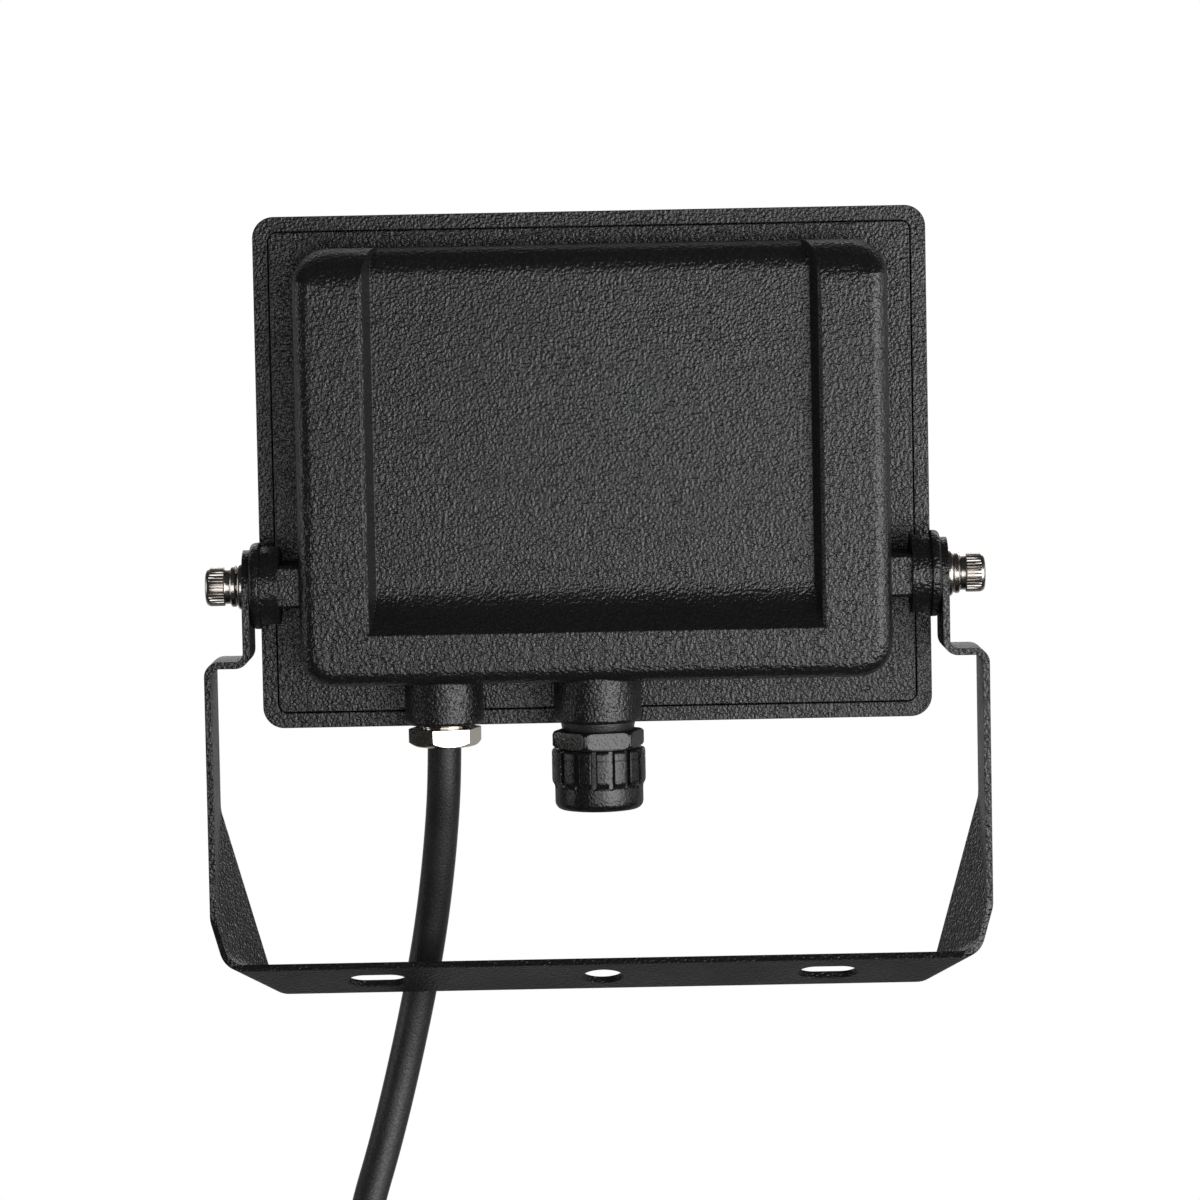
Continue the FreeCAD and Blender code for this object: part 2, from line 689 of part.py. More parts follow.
def corner_row(i, edge, plain, brow):
    """Let the rounding grow from the side to the top around a corner."""
    first, last = edge.valueAt(edge.FirstParameter), edge.valueAt(edge.LastParameter)
    return (i, brow, plain) if first.z > last.z else (i, plain, brow)


def channel_tool():
    """Open-topped channel: sloped side walls with bevelled rims, a hollow ramp below and a curved top."""
    rim_plane = "-hump_back - overlap"
    past = "channel_deep + channel_brow + overlap"
    mouth = "channel_half + channel_edge + overlap"
    rim = "channel_half - channel_slope / channel_deep * channel_edge"
    end = f"channel_half - channel_slope / channel_deep * ({past})"
    walls = outline("channel_walls_sketch", [
        (f"-({mouth})", rim_plane), (mouth, rim_plane), (rim, "channel_edge - hump_back"),
        (end, f"{past} - hump_back"), (f"-({end})", f"{past} - hump_back"),
        (f"-({rim})", "channel_edge - hump_back")])
    bind_place(walls, ("0", "0", "-hump_bottom"))
    walls = pushed("channel_walls", walls, Z_AXIS, "hump_top + 2 * hump_bottom")
    high = "hump_top + 5 * overlap"
    run = outline("channel_run_sketch", [
        (rim_plane, "-channel_end - ramp_length / channel_deep"),
        ("channel_floor", "ramp_length - channel_end"), ("channel_floor", "hump_top"),
        (f"{past} - hump_back", "hump_top"), (f"{past} - hump_back", high), (rim_plane, high)])
    bind_place(run, ("-hump_half", "0", "0"), Rotation(Vector(1, 1, 1), 120))
    run = pushed("channel_run", run, X_AXIS, "2 * hump_half")
    floor, foot, top = size("channel_floor"), size("ramp_length - channel_end"), size("hump_top")
    ramp = fillet("channel_ramp", run, size("ramp_bend"), lambda edge: lies_on(edge, floor, foot))
    brow = fillet("channel_bow", ramp, size("channel_brow"), lambda edge: lies_on(edge, floor, top))
    return shared("channel_tool", [walls, brow])


def lies_on(edge, y, z):
    box = edge.BoundBox
    return abs(box.YMin - y) + abs(box.YMax - y) + abs(box.ZMin - z) + abs(box.ZMax - z) < 0.01


def brow_rib():
    """Rib inside the casting that keeps the wall behind the curved top of the channel."""
    rib = outline("brow_rib_sketch", [
        ("board_back", "hump_top - channel_brow"), ("board_back + channel_brow - wall", "inner_top"),
        ("board_back + channel_brow - wall", "inner_top + overlap"),
        ("board_back - overlap", "inner_top + overlap"),
        ("board_back - overlap", "hump_top - channel_brow")])
    bind_place(rib, ("-inner_half", "0", "0"), Rotation(Vector(1, 1, 1), 120))
    return pushed("brow_rib", rib, X_AXIS, "2 * inner_half")


def housing_hollow():
    """Inside of the casting: a main space and deeper pockets beside and below the channel."""
    main = round_slab("hollow_main", "-inner_half", "inner_half", "-inner_bottom", "inner_top", "board_back",
                      "hump_back + 2 * frame_back", "hump_corner - wall")
    main = cut("hollow_ribbed", main, [brow_rib()])
    side, inner = "hump_half - pocket_wall", "channel_half + pocket_side"
    low, high = "pocket_low - hump_bottom", "hump_top - pocket_over"
    back, deep = "wall - hump_back", "channel_deep + overlap"
    left = slab("hollow_left", f"-({side})", f"-({inner})", low, high, back, deep)
    right = slab("hollow_right", inner, side, low, high, back, deep)
    trough = slab("hollow_low", "trough_side - hump_half", "hump_half - trough_side",
                  "pocket_wall - hump_bottom", "-channel_end - wall", back, deep)
    return [main, left, right, trough]


def pivot_lug(side, mirror_x):
    """Bevelled lug and round boss of one pivot."""
    start = "inner_half" if mirror_x > 0 else "-lug_out"
    lug = block(side + "_lug_block", (start, "-lug_back", "-lug_height / 2"), Length="lug_out - inner_half",
                Width="lug_back + frame_back + flange_thick / 2", Height="lug_height")
    doc.recompute()
    lug = bevel(side + "_lug", lug, size("lug_edge"), lambda edge: True)
    start = "ring_inside" if mirror_x > 0 else "-ring_outside"
    ring = rod(side + "_ring", (start, "0", "0"), "ring_radius", "ring_length", ALONG_X)
    return [lug, ring]


def pivot_thread(side, mirror_x):
    depth = "ring_outside + screw_length - head_start + overlap"
    start = f"ring_outside - ({depth})" if mirror_x > 0 else "-ring_outside"
    return rod(side + "_thread", (start, "0", "0"), "screw_radius + thread_play", depth, ALONG_X)


def board_spots():
    across = "(board_half - board_hole_in)"
    low, high = "board_hole_up - board_bottom", "board_top - board_hole_up"
    return [(f"-{across}", low), (across, low), (f"-{across}", high), (across, high)]


def boss(name, across, radius):
    """Round boss under the hump with a soft lower edge."""
    plain = rod(name, (across, "0", "-boss_bottom"), radius, "boss_bottom - inner_bottom")
    doc.recompute()
    low = -size("boss_bottom")
    return fillet(name + "_soft", plain, size("boss_edge"), lambda edge: edge.BoundBox.ZMax < low + 0.01)


def make_housing():
    flange = round_slab("flange", *within_frame("rim + seam"), "frame_back", "flange_thick", "glass_corner")
    bosses = [boss("gland_boss_rod", "-gland_left", "gland_boss"),
              boss("sensor_boss_rod", "0", "sensor_boss")]
    lugs = pivot_lug("left", -1) + pivot_lug("right", 1)
    solid = joined("casting_solid", [hump_block(), flange] + bosses + lugs)
    hollow = cut("casting_hollow", solid, housing_hollow() + [channel_tool()])
    posts = [rod(f"post_{i}", (x, "wall / 2 - hump_back", z), "post_radius", "channel_deep + wall / 2",
                 AHEAD) for i, (x, z) in enumerate(board_spots())]
    posted = joined("casting_posted", [hollow] + posts)
    drills = [rod(f"post_drill_{i}", (x, "board_front - board_screw_deep", z), "board_screw",
                  "board_screw_deep", AHEAD) for i, (x, z) in enumerate(board_spots())]
    drills += [pivot_thread("left", -1), pivot_thread("right", 1)]
    for name, across, radius in (("gland", "-gland_left", "gland_neck"), ("sensor", "0", "socket_neck")):
        drills.append(rod(name + "_drill", (across, "0", "-boss_bottom - overlap"), radius,
                          "boss_drill + overlap"))
    return cut("casting_cut", posted, drills)


def tube(name, inner, outer, length, at, turn=NO_TURN):
    return turned(name, [(inner, "0"), (outer, "0"), (outer, length), (inner, length)], at, turn)


def pivot_set(side, mirror_x):
    """Friction disc, washers and screw of one pivot, drawn outwards along their own Z."""
    turn = Rotation(Y_AXIS, 90 * mirror_x)
    sign = "" if mirror_x > 0 else "-"

    def at(text):
        return (f"{sign}({text})", "0", "0")

    disc = turned(side + "_disc_turn", [
        ("screw_radius", "0"), ("disc_radius", "0"), ("disc_radius", "disc_thick - disc_edge"),
        ("disc_radius - disc_edge", "disc_thick"), ("screw_radius", "disc_thick")], at("ring_outside"), turn)
    flat = tube(side + "_flat_turn", "screw_radius", "washer_radius", "washer_thick",
                at("arm_outside"), turn)
    ring = tube(side + "_split_turn", "screw_radius", "spring_radius", "spring_thick",
                at("spring_start"), turn)
    near, far = at("spring_start - overlap")[0], at("head_start + overlap")[0]
    gap = outline(side + "_gap_sketch", [(near, "-split_gap"), (far, "0"), (far, "split_gap"), (near, "0")])
    bind_place(gap, ("0", "0", "0"))
    split = cut(side + "_split_cut", ring, [pushed(side + "_gap", gap, Z_AXIS, "2 * spring_radius")])
    screw = turned(side + "_screw_turn", [
        ("0", "-screw_length"), ("screw_radius - screw_tip", "-screw_length"),
        ("screw_radius", "screw_tip - screw_length"), ("screw_radius", "0"),
        ("head_radius - neck_step", "0"),
        ("head_radius - neck_step", "neck_length - neck_slope"), ("head_radius", "neck_length"),
        ("head_radius", "head_height - head_edge"), ("head_radius - head_edge", "head_height"),
        ("0", "head_height")], at("head_start"), turn)
    key = hexagon(side + "_key", at("head_start + head_height - key_depth"), "key_width / 2 / cos(30)",
                  "key_depth + overlap", turn)
    screw = cut(side + "_screw_cut", screw, [key])
    return [(disc, side + "_disc"), (flat, side + "_flat_washer"), (split, side + "_spring_washer"),
            (screw, side + "_screw")]


def make_gland():
    """Hexagon gland screw with the washer and the rubber sleeve inside."""
    spot = ("-gland_left", "0", "-boss_bottom - gland_ring_thick - gland_hex_high")
    bore, top = "cord_radius + gland_play", "gland_hex_high + gland_ring_thick + gland_thread"
    core = turned("gland_core", [
        (bore, "0"), ("gland_hex", "0"), ("gland_hex", "gland_hex_high"), ("gland_neck", "gland_hex_high"),
        ("gland_neck", top), ("seal_radius", top), ("seal_radius", f"{top} - gland_seat"),
        (bore, f"{top} - gland_seat")], spot)
    thread = rod("gland_thread_rod", spot, "gland_neck", top)
    softened = turned("gland_bevel", [
        ("0", "0"), ("gland_hex - gland_bevel_wide", "0"), ("gland_hex", "gland_bevel_high"),
        ("gland_hex", "gland_hex_high"), ("0", "gland_hex_high")], spot)
    nut = hexagon("gland_nut", spot, "gland_hex", "gland_hex_high", Rotation(Z_AXIS, size("gland_turn")))
    outer = joined("gland_outer", [shared("gland_hexagon", [nut, softened]), thread])
    gland = shared("gland_whole", [core, outer])
    ring = tube("gland_ring_turn", "gland_neck", "gland_ring_radius", "gland_ring_thick",
                ("-gland_left", "0", "-boss_bottom - gland_ring_thick"))
    seal = tube("gland_seal_turn", "cord_radius + cord_play", "seal_radius", "gland_seat",
                ("-gland_left", "0", "gland_thread - gland_seat - boss_bottom"))
    return [(gland, "supply_gland"), (ring, "gland_ring"), (seal, "gland_seal")]


def contact_spot(i):
    """Place of a contact on its circle, with the first one at the back."""
    angle = f"({90 + 120 * i})"
    return f"contact_circle * cos({angle})", f"contact_circle * sin({angle})"


def make_socket():
    """Sensor socket with its gasket, contacts and cap seal."""
    collar = turned("collar_turn", [
        ("socket_neck", "0"), ("collar_radius - collar_cone", "0"), ("collar_radius", "collar_high"),
        ("socket_neck", "collar_high")], ("0", "0", "-boss_bottom - collar_high"))
    spot = ("0", "0", "-socket_low")
    top = "socket_hex_high + collar_high + socket_thread"
    floor = "socket_floor - plug_length"
    core = turned("socket_core", [
        ("0", floor), ("0", top), ("socket_neck", top), ("socket_neck", "socket_hex_high"),
        ("socket_hex", "socket_hex_high"), ("socket_hex", "0"), ("plug_radius", "0"),
        ("plug_radius", "-plug_length"), ("socket_bore", "-plug_length"), ("socket_bore", floor)], spot)
    bore = rod("socket_bore_rod", spot, "socket_bore", top)
    softened = turned("socket_bevel", [
        ("0", "-plug_length"), ("plug_radius", "-plug_length"), ("plug_radius", "0"),
        ("socket_hex - socket_bevel_wide", "0"), ("socket_hex", "socket_bevel_high"),
        ("socket_hex", "socket_hex_high"), ("socket_neck", "socket_hex_high"),
        ("socket_neck", top), ("0", top)], spot)
    nut = hexagon("socket_nut", spot, "socket_hex", "socket_hex_high", Rotation(Z_AXIS, size("socket_turn")))
    necks = [rod("socket_neck_rod", spot, "socket_neck", top),
             rod("socket_plug_rod", ("0", "0", "-socket_low - plug_length"), "plug_radius",
                 "plug_length + overlap")]
    outer = joined("socket_outer", [nut] + necks)
    whole = cut("socket_cut", shared("socket_whole", [core, outer, softened]), [bore])
    pins = [rod(f"contact_{i}", (*contact_spot(i), "contact_sink - plug_length - socket_low"),
                "contact_radius", "contact_length") for i in range(CORES)]
    whole = cut("socket_drilled", whole, pins)
    ring = tube("cap_seal_turn", "plug_radius", "cap_ring_radius", "cap_ring",
                ("0", "0", "-socket_low - cap_ring"))
    return [(collar, "socket_gasket"), (whole, "sensor_socket"),
            (group("contact_group", pins), "socket_contacts"), (ring, "cap_seal")]


def group(name, parts):
    obj = doc.addObject("Part::Compound", name)
    obj.Links = parts
    doc.recompute()
    return obj


def make_cap():
    """Blind cap: a ribbed barrel as one body, with a patterned groove."""
    body = doc.addObject("PartDesign::Body", "cap_body")
    bind_place(body, ("0", "0", "-socket_low - cap_ring - cap_high"))
    plane = next(f for f in body.Origin.OriginFeatures if f.Role == "XZ_Plane")
    profile = body_sketch(body, "cap_profile", plane, [
        ("0", "0"), ("cap_barrel - cap_edge", "0"), ("cap_barrel", "cap_edge"), ("cap_barrel", "cap_plain"),
        ("cap_radius", "cap_plain + cap_step"), ("cap_radius", "cap_high - cap_bevel"),
        ("cap_radius - cap_bevel", "cap_high"),
        ("plug_radius + cap_play", "cap_high"), ("plug_radius + cap_play", "cap_floor"), ("0", "cap_floor")])
    turn = body.newObject("PartDesign::Revolution", "cap_turn")
    turn.Profile = profile
    turn.ReferenceAxis = (profile, ["V_Axis"])
    turn.Angle = 360
    doc.recompute()
    ground = next(f for f in body.Origin.OriginFeatures if f.Role == "XY_Plane")
    floor, past = "cap_barrel - groove_sink", "cap_radius + overlap"
    mark = body_sketch(body, "groove_profile", ground, [
        (floor, "-groove_width / 2"), (past, "-groove_width / 2"),
        (past, "groove_width / 2"), (floor, "groove_width / 2")])
    mark.AttachmentOffset = FreeCAD.Placement(Vector(0, 0, 0), NO_TURN)
    mark.setExpression("AttachmentOffset.Base.z", link("cap_high - groove_high"))
    groove = body.newObject("PartDesign::Pocket", "groove")
    groove.Profile = mark
    groove.Reversed = True
    groove.setExpression("Length", link("groove_high + overlap"))
    doc.recompute()
    ribs = body.newObject("PartDesign::PolarPattern", "grooves")
    ribs.Originals = [groove]
    ribs.Axis = (mark, ["N_Axis"])
    ribs.Angle = 360
    ribs.Occurrences = round(size("cap_grooves"))
    body.Tip = ribs
    doc.recompute()
    return body


def body_sketch(body, name, plane, points):
    sketch = body.newObject("Sketcher::SketchObject", name)
    sketch.AttachmentSupport = (plane, [""])
    sketch.MapMode = "FlatFace"
    drawn(sketch, points)
    doc.recompute()
    return sketch


def make_board():
    """Board, light chips and board screws."""
    plate = slab("board_plate", "-board_half", "board_half", "-board_bottom", "board_top", "board_back",
                 "board_thick")
    holes = [rod(f"board_hole_{i}", (x, "board_back", z), "board_screw", "board_thick", AHEAD)
             for i, (x, z) in enumerate(board_spots())]
    board = cut("board_cut", plate, holes)
    columns, rows = round(size("chip_columns")), round(size("chip_rows"))
    chips = []
    for row in range(rows):
        for column in range(columns):
            x = f"chip_pitch_wide * {column - (columns - 1) / 2} - chip_wide / 2"
            z = f"chip_low + chip_pitch_tall * {row} - chip_tall / 2"
            chips.append(block(f"chip_{row}_{column}", (x, "board_front", z), Length="chip_wide",
                               Width="chip_thick", Height="chip_tall"))
    screws = [board_screw(i, x, z) for i, (x, z) in enumerate(board_spots())]
    return [(board, "led_board"), (group("chip_group", chips), "led_chips"),
            (group("board_screw_group", screws), "board_screws")]


def board_screw(i, x, z):
    return turned(f"board_screw_{i}", [
        ("0", "-board_screw_deep"), ("board_screw", "-board_screw_deep"), ("board_screw", "0"),
        ("board_head", "0"), ("board_head", "board_head_high - board_head_edge"),
        ("board_head - board_head_edge", "board_head_high"), ("0", "board_head_high")],
        (x, "board_front", z), AHEAD)


def driver_block(name):
    return block(name + "_body", (f"{name}_left - board_half", "board_front", f"{name}_low - board_bottom"),
                 Length=name + "_wide", Width=name + "_thick", Height=name + "_tall")


def driver_can(name):
    middle = (f"{name}_left - board_half + {name}_wide / 2", "board_front",
              f"{name}_low - board_bottom + {name}_tall / 2")
    return rod(name + "_can", middle, name + "_wide / 2", name + "_thick", AHEAD)


def terminal_mouth_across(i):
    return f"terminal_left - board_half + terminal_first + terminal_pitch * {i}"


def make_driver():
    """Parts of the driver on the lower part of the board."""
    pair = [driver_block("driver_left"), driver_block("driver_right")]
    mouths = [rod(f"terminal_mouth_{i}", (terminal_mouth_across(i), "board_front + terminal_thick / 2",
                                          "terminal_low - board_bottom - overlap"),
                  "terminal_mouth", "terminal_deep + overlap") for i in range(CORES)]
    terminal = cut("terminal_cut", driver_block("terminal"), mouths)
    return [(driver_block("rectifier"), "bridge_rectifier"), (group("driver_pair", pair), "driver_chips"),
            (driver_block("fuse"), "fuse"), (driver_can("varistor"), "varistor"),
            (driver_can("capacitor"), "capacitor"), (terminal, "terminal_block")]


def tray_shell(name, grow):
    """Four-sided funnel from the light field to the glass, made larger by grow."""
    wires = []
    floor, glass = size("board_front + tray_back"), size("glass_back")
    space = size("tray_play + tray_rim") - grow
    for y, half, bottom, top in (
            (floor, size("tray_half") + grow, size("tray_low") - grow, size("hump_top - tray_over") + grow),
            (glass, size("inner_half") - space, space - size("inner_bottom"), size("inner_top") - space)):
        corners = [Vector(-half, y, bottom), Vector(half, y, bottom), Vector(half, y, top),
                   Vector(-half, y, top)]
        wires.append(Part.makePolygon(corners + corners[:1]))
    return feature(name, Part.makeLoft(wires, True, True))


def make_tray():
    return cut("tray_funnel", tray_shell("tray_outer", size("tray_wall")), [tray_shell("tray_inner", 0)])


def arc_in(before, corner, after, largest):
    """Arc that rounds a corner of a route, as large as the two runs or the given limit allow."""
    back, ahead = before - corner, after - corner
    half_turn = (math.pi - back.getAngle(ahead)) / 2
    radius = ARC_SHARE * min(back.Length, ahead.Length) / math.tan(half_turn)
    if largest:
        radius = min(radius, largest)
    back.normalize()
    ahead.normalize()
    reach = radius * math.tan(half_turn)
    inwards = (back + ahead).normalize()
    middle = corner + inwards * (radius / math.cos(half_turn) - radius)
    return radius, corner + back * reach, middle, corner + ahead * reach


def route(points, largest=None):
    """Straight runs joined by tangent arcs, and the radii of the arcs."""
    edges, radii = [], []
    start = points[0]
    for before, corner, after in zip(points, points[1:], points[2:]):
        radius, first, middle, last = arc_in(before, corner, after, largest)
        edges.append(Part.LineSegment(start, first).toShape())
        edges.append(Part.Arc(first, middle, last).toShape())
        radii.append(round(radius, 1))
        start = last
    edges.append(Part.LineSegment(start, points[-1]).toShape())
    return Part.Wire(edges), radii


def piped(name, points, radius, largest=None):
    """Round cord or lead along a route; its volume shows whether the sweep is sound."""
    way, radii = route(points, largest)
    ring = Part.Wire(Part.Circle(points[0], points[1] - points[0], radius).toShape())
    pipe = way.makePipeShell([ring], True, False)
    share = pipe.Volume / (math.pi * radius ** 2 * way.Length)
    print(name, "length", round(way.Length, 1), "bend radii", radii, "volume share", round(share, 4))
    return pipe


def lead_route(start, level, end, rise):
    """Lead that climbs from start, crosses to below end and climbs into it."""
    return [start, Vector(start.x, start.y, level), Vector(end.x, end.y, level + rise), end]


def supply_lead(i):
    """Core from the end of the cord into its mouth of the terminal block."""
    top = CORD_POINTS[0][2]
    start = Vector(size(f"supply_spread * {i - 1} - gland_left"), 0, top)
    end = Vector(size(terminal_mouth_across(i)), size("board_front + terminal_thick / 2"),
                 size("terminal_low - board_bottom + lead_grip"))
    points = lead_route(start, top + size(f"supply_rise + supply_step * {i}"), end, size("supply_slope"))
    return piped("supply lead", points, size("core_radius"), size("lead_bend"))


def sensor_lead(i):
    """Lead from a contact of the socket to the board."""
    across, behind = contact_spot((2 - i + 1) % CORES)
    tip = "contact_sink + contact_length - plug_length - socket_low"
    start = Vector(size(across), size(behind), size(tip))
    end = Vector(size(f"board_half - sensor_side - sensor_pitch * {i}"), size("board_front + lead_radius"),
                 size("sensor_end - board_bottom"))
    level = size(f"sensor_level + sensor_step * {i} - hump_bottom")
    points = lead_route(start, level, end, size("sensor_slope"))
    return piped("sensor lead", points, size("lead_radius"), size("lead_bend"))


def make_leads():
    """Cores from the cord to the terminal block and leads from the socket to the board."""
    supply = [supply_lead(i) for i in range(CORES)]
    sensor = [sensor_lead(i) for i in range(CORES)]
    return [(feature("supply_lead_group", Part.makeCompound(supply)), "supply_leads"),
            (feature("sensor_lead_group", Part.makeCompound(sensor)), "sensor_leads")]


def coil_ring(centre):
    """Outer shape of the put-away coil with the straight cord at both ends."""
    ring = tube("coil_body", "coil_radius - cord_radius", "coil_radius + cord_radius",
                "coil_depth + 2 * cord_radius",
                (f"{centre.x}", f"{centre.y} - cord_radius", f"{centre.z}"), AHEAD)
    soft = bevel("coil_soft", ring, size("coil_edge"), lambda edge: True)
    left = f"{centre.x} - coil_radius"
    entry = rod("coil_entry_rod", (left, f"{centre.y}", f"{centre.z}"), "cord_radius",
                "coil_entry - cord_gap")
    leave = rod("coil_exit_rod", (left, f"{centre.y} + coil_depth", f"{centre.z} - coil_exit"),
                "cord_radius", "coil_exit")
    return joined("coil_whole", [soft, entry, leave])


def bared_end(end):
    """Three cores and their end sleeves under the free end of the cord."""
    cores, sleeves = [], []
    down = -Z_AXIS
    for i in range(CORES):
        turn = 2 * math.pi * i / CORES
        spread = size("core_spread")
        start = end + Vector(spread * math.cos(turn), spread * math.sin(turn), -size("cord_gap"))
        sleeve_start = start + down * size("core_length + overlap - ferrule_length")
        cores.append(Part.makeCylinder(size("core_radius"), size("core_length"), start, down))
        sleeve = Part.makeCylinder(size("ferrule_radius"), size("ferrule_length"), sleeve_start, down)
        bore = Part.makeCylinder(size("core_radius"), size("ferrule_length"), sleeve_start, down)
        sleeves.append(sleeve.cut(bore))
    return Part.makeCompound(cores), Part.makeCompound(sleeves)


def make_cord():
    """Hanging cord, its put-away coil with a tie, and the bared cores at its end."""
    hanging = [Vector(*p) for p in CORD_POINTS]
    cord = feature("cord_hanging", piped("supply cord", hanging, size("cord_radius")))
    centre = hanging[-1] + Vector(size("coil_radius"), 0, -size("coil_entry"))
    end = hanging[-1] + Vector(0, size("coil_depth"), -size("coil_entry + coil_exit"))
    cores, sleeves = bared_end(end)
    return [(cord, "supply_cord"), (coil_ring(centre), "cord_coil"), (coil_tie(centre), "cord_tie"),
            (feature("core_group", cores), "cord_cores"),
            (feature("sleeve_group", sleeves), "cord_ferrules")]


def coil_tie(centre):
    """Flat strap around the turns at the bottom of the coil, with its lock."""
    reach, thick, wide = size("cord_radius + tie_play"), size("tie_thick"), size("tie_width")
    depth = size("coil_depth") + 2 * reach
    start = Vector(centre.x - wide / 2, centre.y - reach, centre.z - size("coil_radius") - reach)
    hole = Part.makeBox(wide, depth, 2 * reach, start)
    strap = Part.makeBox(wide, depth + 2 * thick, 2 * reach + 2 * thick, start - Vector(0, thick, thick))
    lock_wide = size("lock_wide")
    lock_start = start + Vector((wide - lock_wide) / 2, size("lock_back"), 2 * reach + thick / 2)
    lock = Part.makeBox(lock_wide, size("lock_deep"), size("lock_high"), lock_start)
    return feature("tie_strap", strap.fuse(lock).cut(hole).removeSplitter())


def check(obj):
    bad = [state for state in obj.State if state in ("Invalid", "Error")]
    if bad or obj.Shape.isNull() or not obj.Shape.isValid():
        raise RuntimeError(f"{obj.Label} did not build")
    if not obj.Shape.Solids:
        raise RuntimeError(f"{obj.Label} has no solid")


def write_parts():
    os.makedirs("parts", exist_ok=True)
    doc.recompute()
    for obj in nodes:
        check(obj)
        obj.Shape.exportStep(f"parts/{obj.Label}.step")
        print(obj.Label, len(obj.Shape.Solids), round(obj.Shape.Volume, 1))


fill_sheet()
left_arm = folded_arm()
add_pivot(left_arm)

finish(make_bracket(left_arm), "bracket")
finish(make_housing(), "rear_housing")
finish(make_frame(), "front_frame")
finish(make_glass(), "front_glass")
finish(make_gasket(), "glass_gasket")
finish(make_tray(), "reflector")
finish(make_cap(), "sensor_cap")
for made in (pivot_set("left", -1), pivot_set("right", 1), make_gland(), make_socket(), make_board(),
             make_driver(), make_leads(), make_cord()):
    for piece, label in made:
        finish(piece, label)
write_parts()
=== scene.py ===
import json
import math

import bmesh
import bpy
from mathutils import Matrix, Vector


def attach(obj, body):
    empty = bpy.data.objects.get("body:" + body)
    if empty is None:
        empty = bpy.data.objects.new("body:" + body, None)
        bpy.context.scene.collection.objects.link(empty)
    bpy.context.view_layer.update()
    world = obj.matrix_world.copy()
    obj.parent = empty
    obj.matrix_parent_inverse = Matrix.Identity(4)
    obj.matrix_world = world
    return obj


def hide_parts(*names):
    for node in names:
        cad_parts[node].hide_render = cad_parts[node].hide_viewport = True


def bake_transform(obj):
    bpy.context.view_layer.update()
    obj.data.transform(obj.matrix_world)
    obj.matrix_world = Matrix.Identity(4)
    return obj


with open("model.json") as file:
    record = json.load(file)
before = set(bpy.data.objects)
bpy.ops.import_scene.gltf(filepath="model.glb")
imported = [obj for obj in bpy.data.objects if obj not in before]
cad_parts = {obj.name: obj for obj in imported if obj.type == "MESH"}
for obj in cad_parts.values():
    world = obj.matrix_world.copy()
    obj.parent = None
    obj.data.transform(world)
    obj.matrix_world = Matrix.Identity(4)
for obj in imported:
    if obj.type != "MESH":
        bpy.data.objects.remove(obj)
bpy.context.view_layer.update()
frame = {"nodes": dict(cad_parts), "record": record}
record = frame["record"]
PIVOT = Vector(next(j for j in record["behaviour"]["joints"] if j["name"] == "head_tilt")["pos_m"])
MM = 0.001

# Camera of the photograph: place about the pivot, turns in degrees, lens and upward shift.
CAMERA_PLACE = Vector((1.084, -1063.551, 75.247)) * MM
CAMERA_YAW = -0.021
CAMERA_PITCH = -3.339
CAMERA_ROLL = 1.102
CAMERA_LENS = 124.55
CAMERA_SENSOR = 36
CAMERA_SHIFT = -0.06

# Route of the hanging cord about the pivot, in metres.
CORD_ROUTE = [
    (-0.0394, 0.0, -0.022),
    (-0.0394, 0.0, -0.046),
    (-0.0415, 0.0065, -0.070),
    (-0.0452, 0.0140, -0.095),
    (-0.0508, 0.0175, -0.121),
    (-0.0574, 0.0155, -0.147),
    (-0.0638, 0.0095, -0.167),
    (-0.0660, 0.0050, -0.184),
    (-0.0660, 0.0050, -0.200),
]
CORD_DIAMETER = 0.0087
COIL_ENTRY = 0.028
COIL_EXIT = 0.030
COIL_RADIUS = 0.0445
COIL_PITCH = 0.0092
COIL_TURNS = 3
COIL_CORNERS = 12
COIL_DEPTH = COIL_PITCH * COIL_TURNS
COIL_CENTRE = Vector(CORD_ROUTE[-1]) + Vector((COIL_RADIUS, 0, -COIL_ENTRY))
CORD_END = COIL_CENTRE + Vector((-COIL_RADIUS, COIL_DEPTH, -COIL_EXIT))

# Places and sizes in millimetres about the pivot, as in the part's source, and turns in degrees.
BOSS_BOTTOM = -36.4
GLAND_LEFT = -39.4
GLAND_HEX_HIGH = 4.75
GLAND_RING_THICK = 0.9
GLAND_TURN = 13.0
RING_OUTSIDE = 85.9
ARM_OUTSIDE = 90.2
FLAT_WASHER_THICK = 1.6
HEAD_START = 93.6
COLLAR_HIGH = 2.4
SOCKET_LOW = -42.85
SOCKET_TURN = 13.4
PIN_CIRCLE = 3.4
CAP_SEAL_THICK = 0.55
CAP_HIGH = 15.6
CAP_GROOVES = 16
CAP_TURN = 5.0
BOARD_FRONT = -2.9
CHIPS_MIDDLE = 51.0
CORE_CIRCLE = 2.2
TIE_REACH = 4.65

# Grains per metre of the powder coat. A finer one is lost in a render of the whole lamp.
GRAIN = 1300.0


def node(name):
    return frame["nodes"][name]


# Finishes

def new_material(name, color, roughness, metallic=0.0):
    """Material with a principled shader whose constant values sit on its own sockets."""
    mat = bpy.data.materials.new(name)
    mat.use_nodes = True
    shader = mat.node_tree.nodes["Principled BSDF"]
    shader.inputs["Base Color"].default_value = (*color, 1)
    shader.inputs["Roughness"].default_value = roughness
    shader.inputs["Metallic"].default_value = metallic
    return mat, shader


def add(mat, kind, **values):
    made = mat.node_tree.nodes.new(kind)
    for key, value in values.items():
        if key in made.inputs:
            made.inputs[key].default_value = value
        else:
            setattr(made, key, value)
    return made


def wire(mat, start, end):
    mat.node_tree.links.new(start, end)


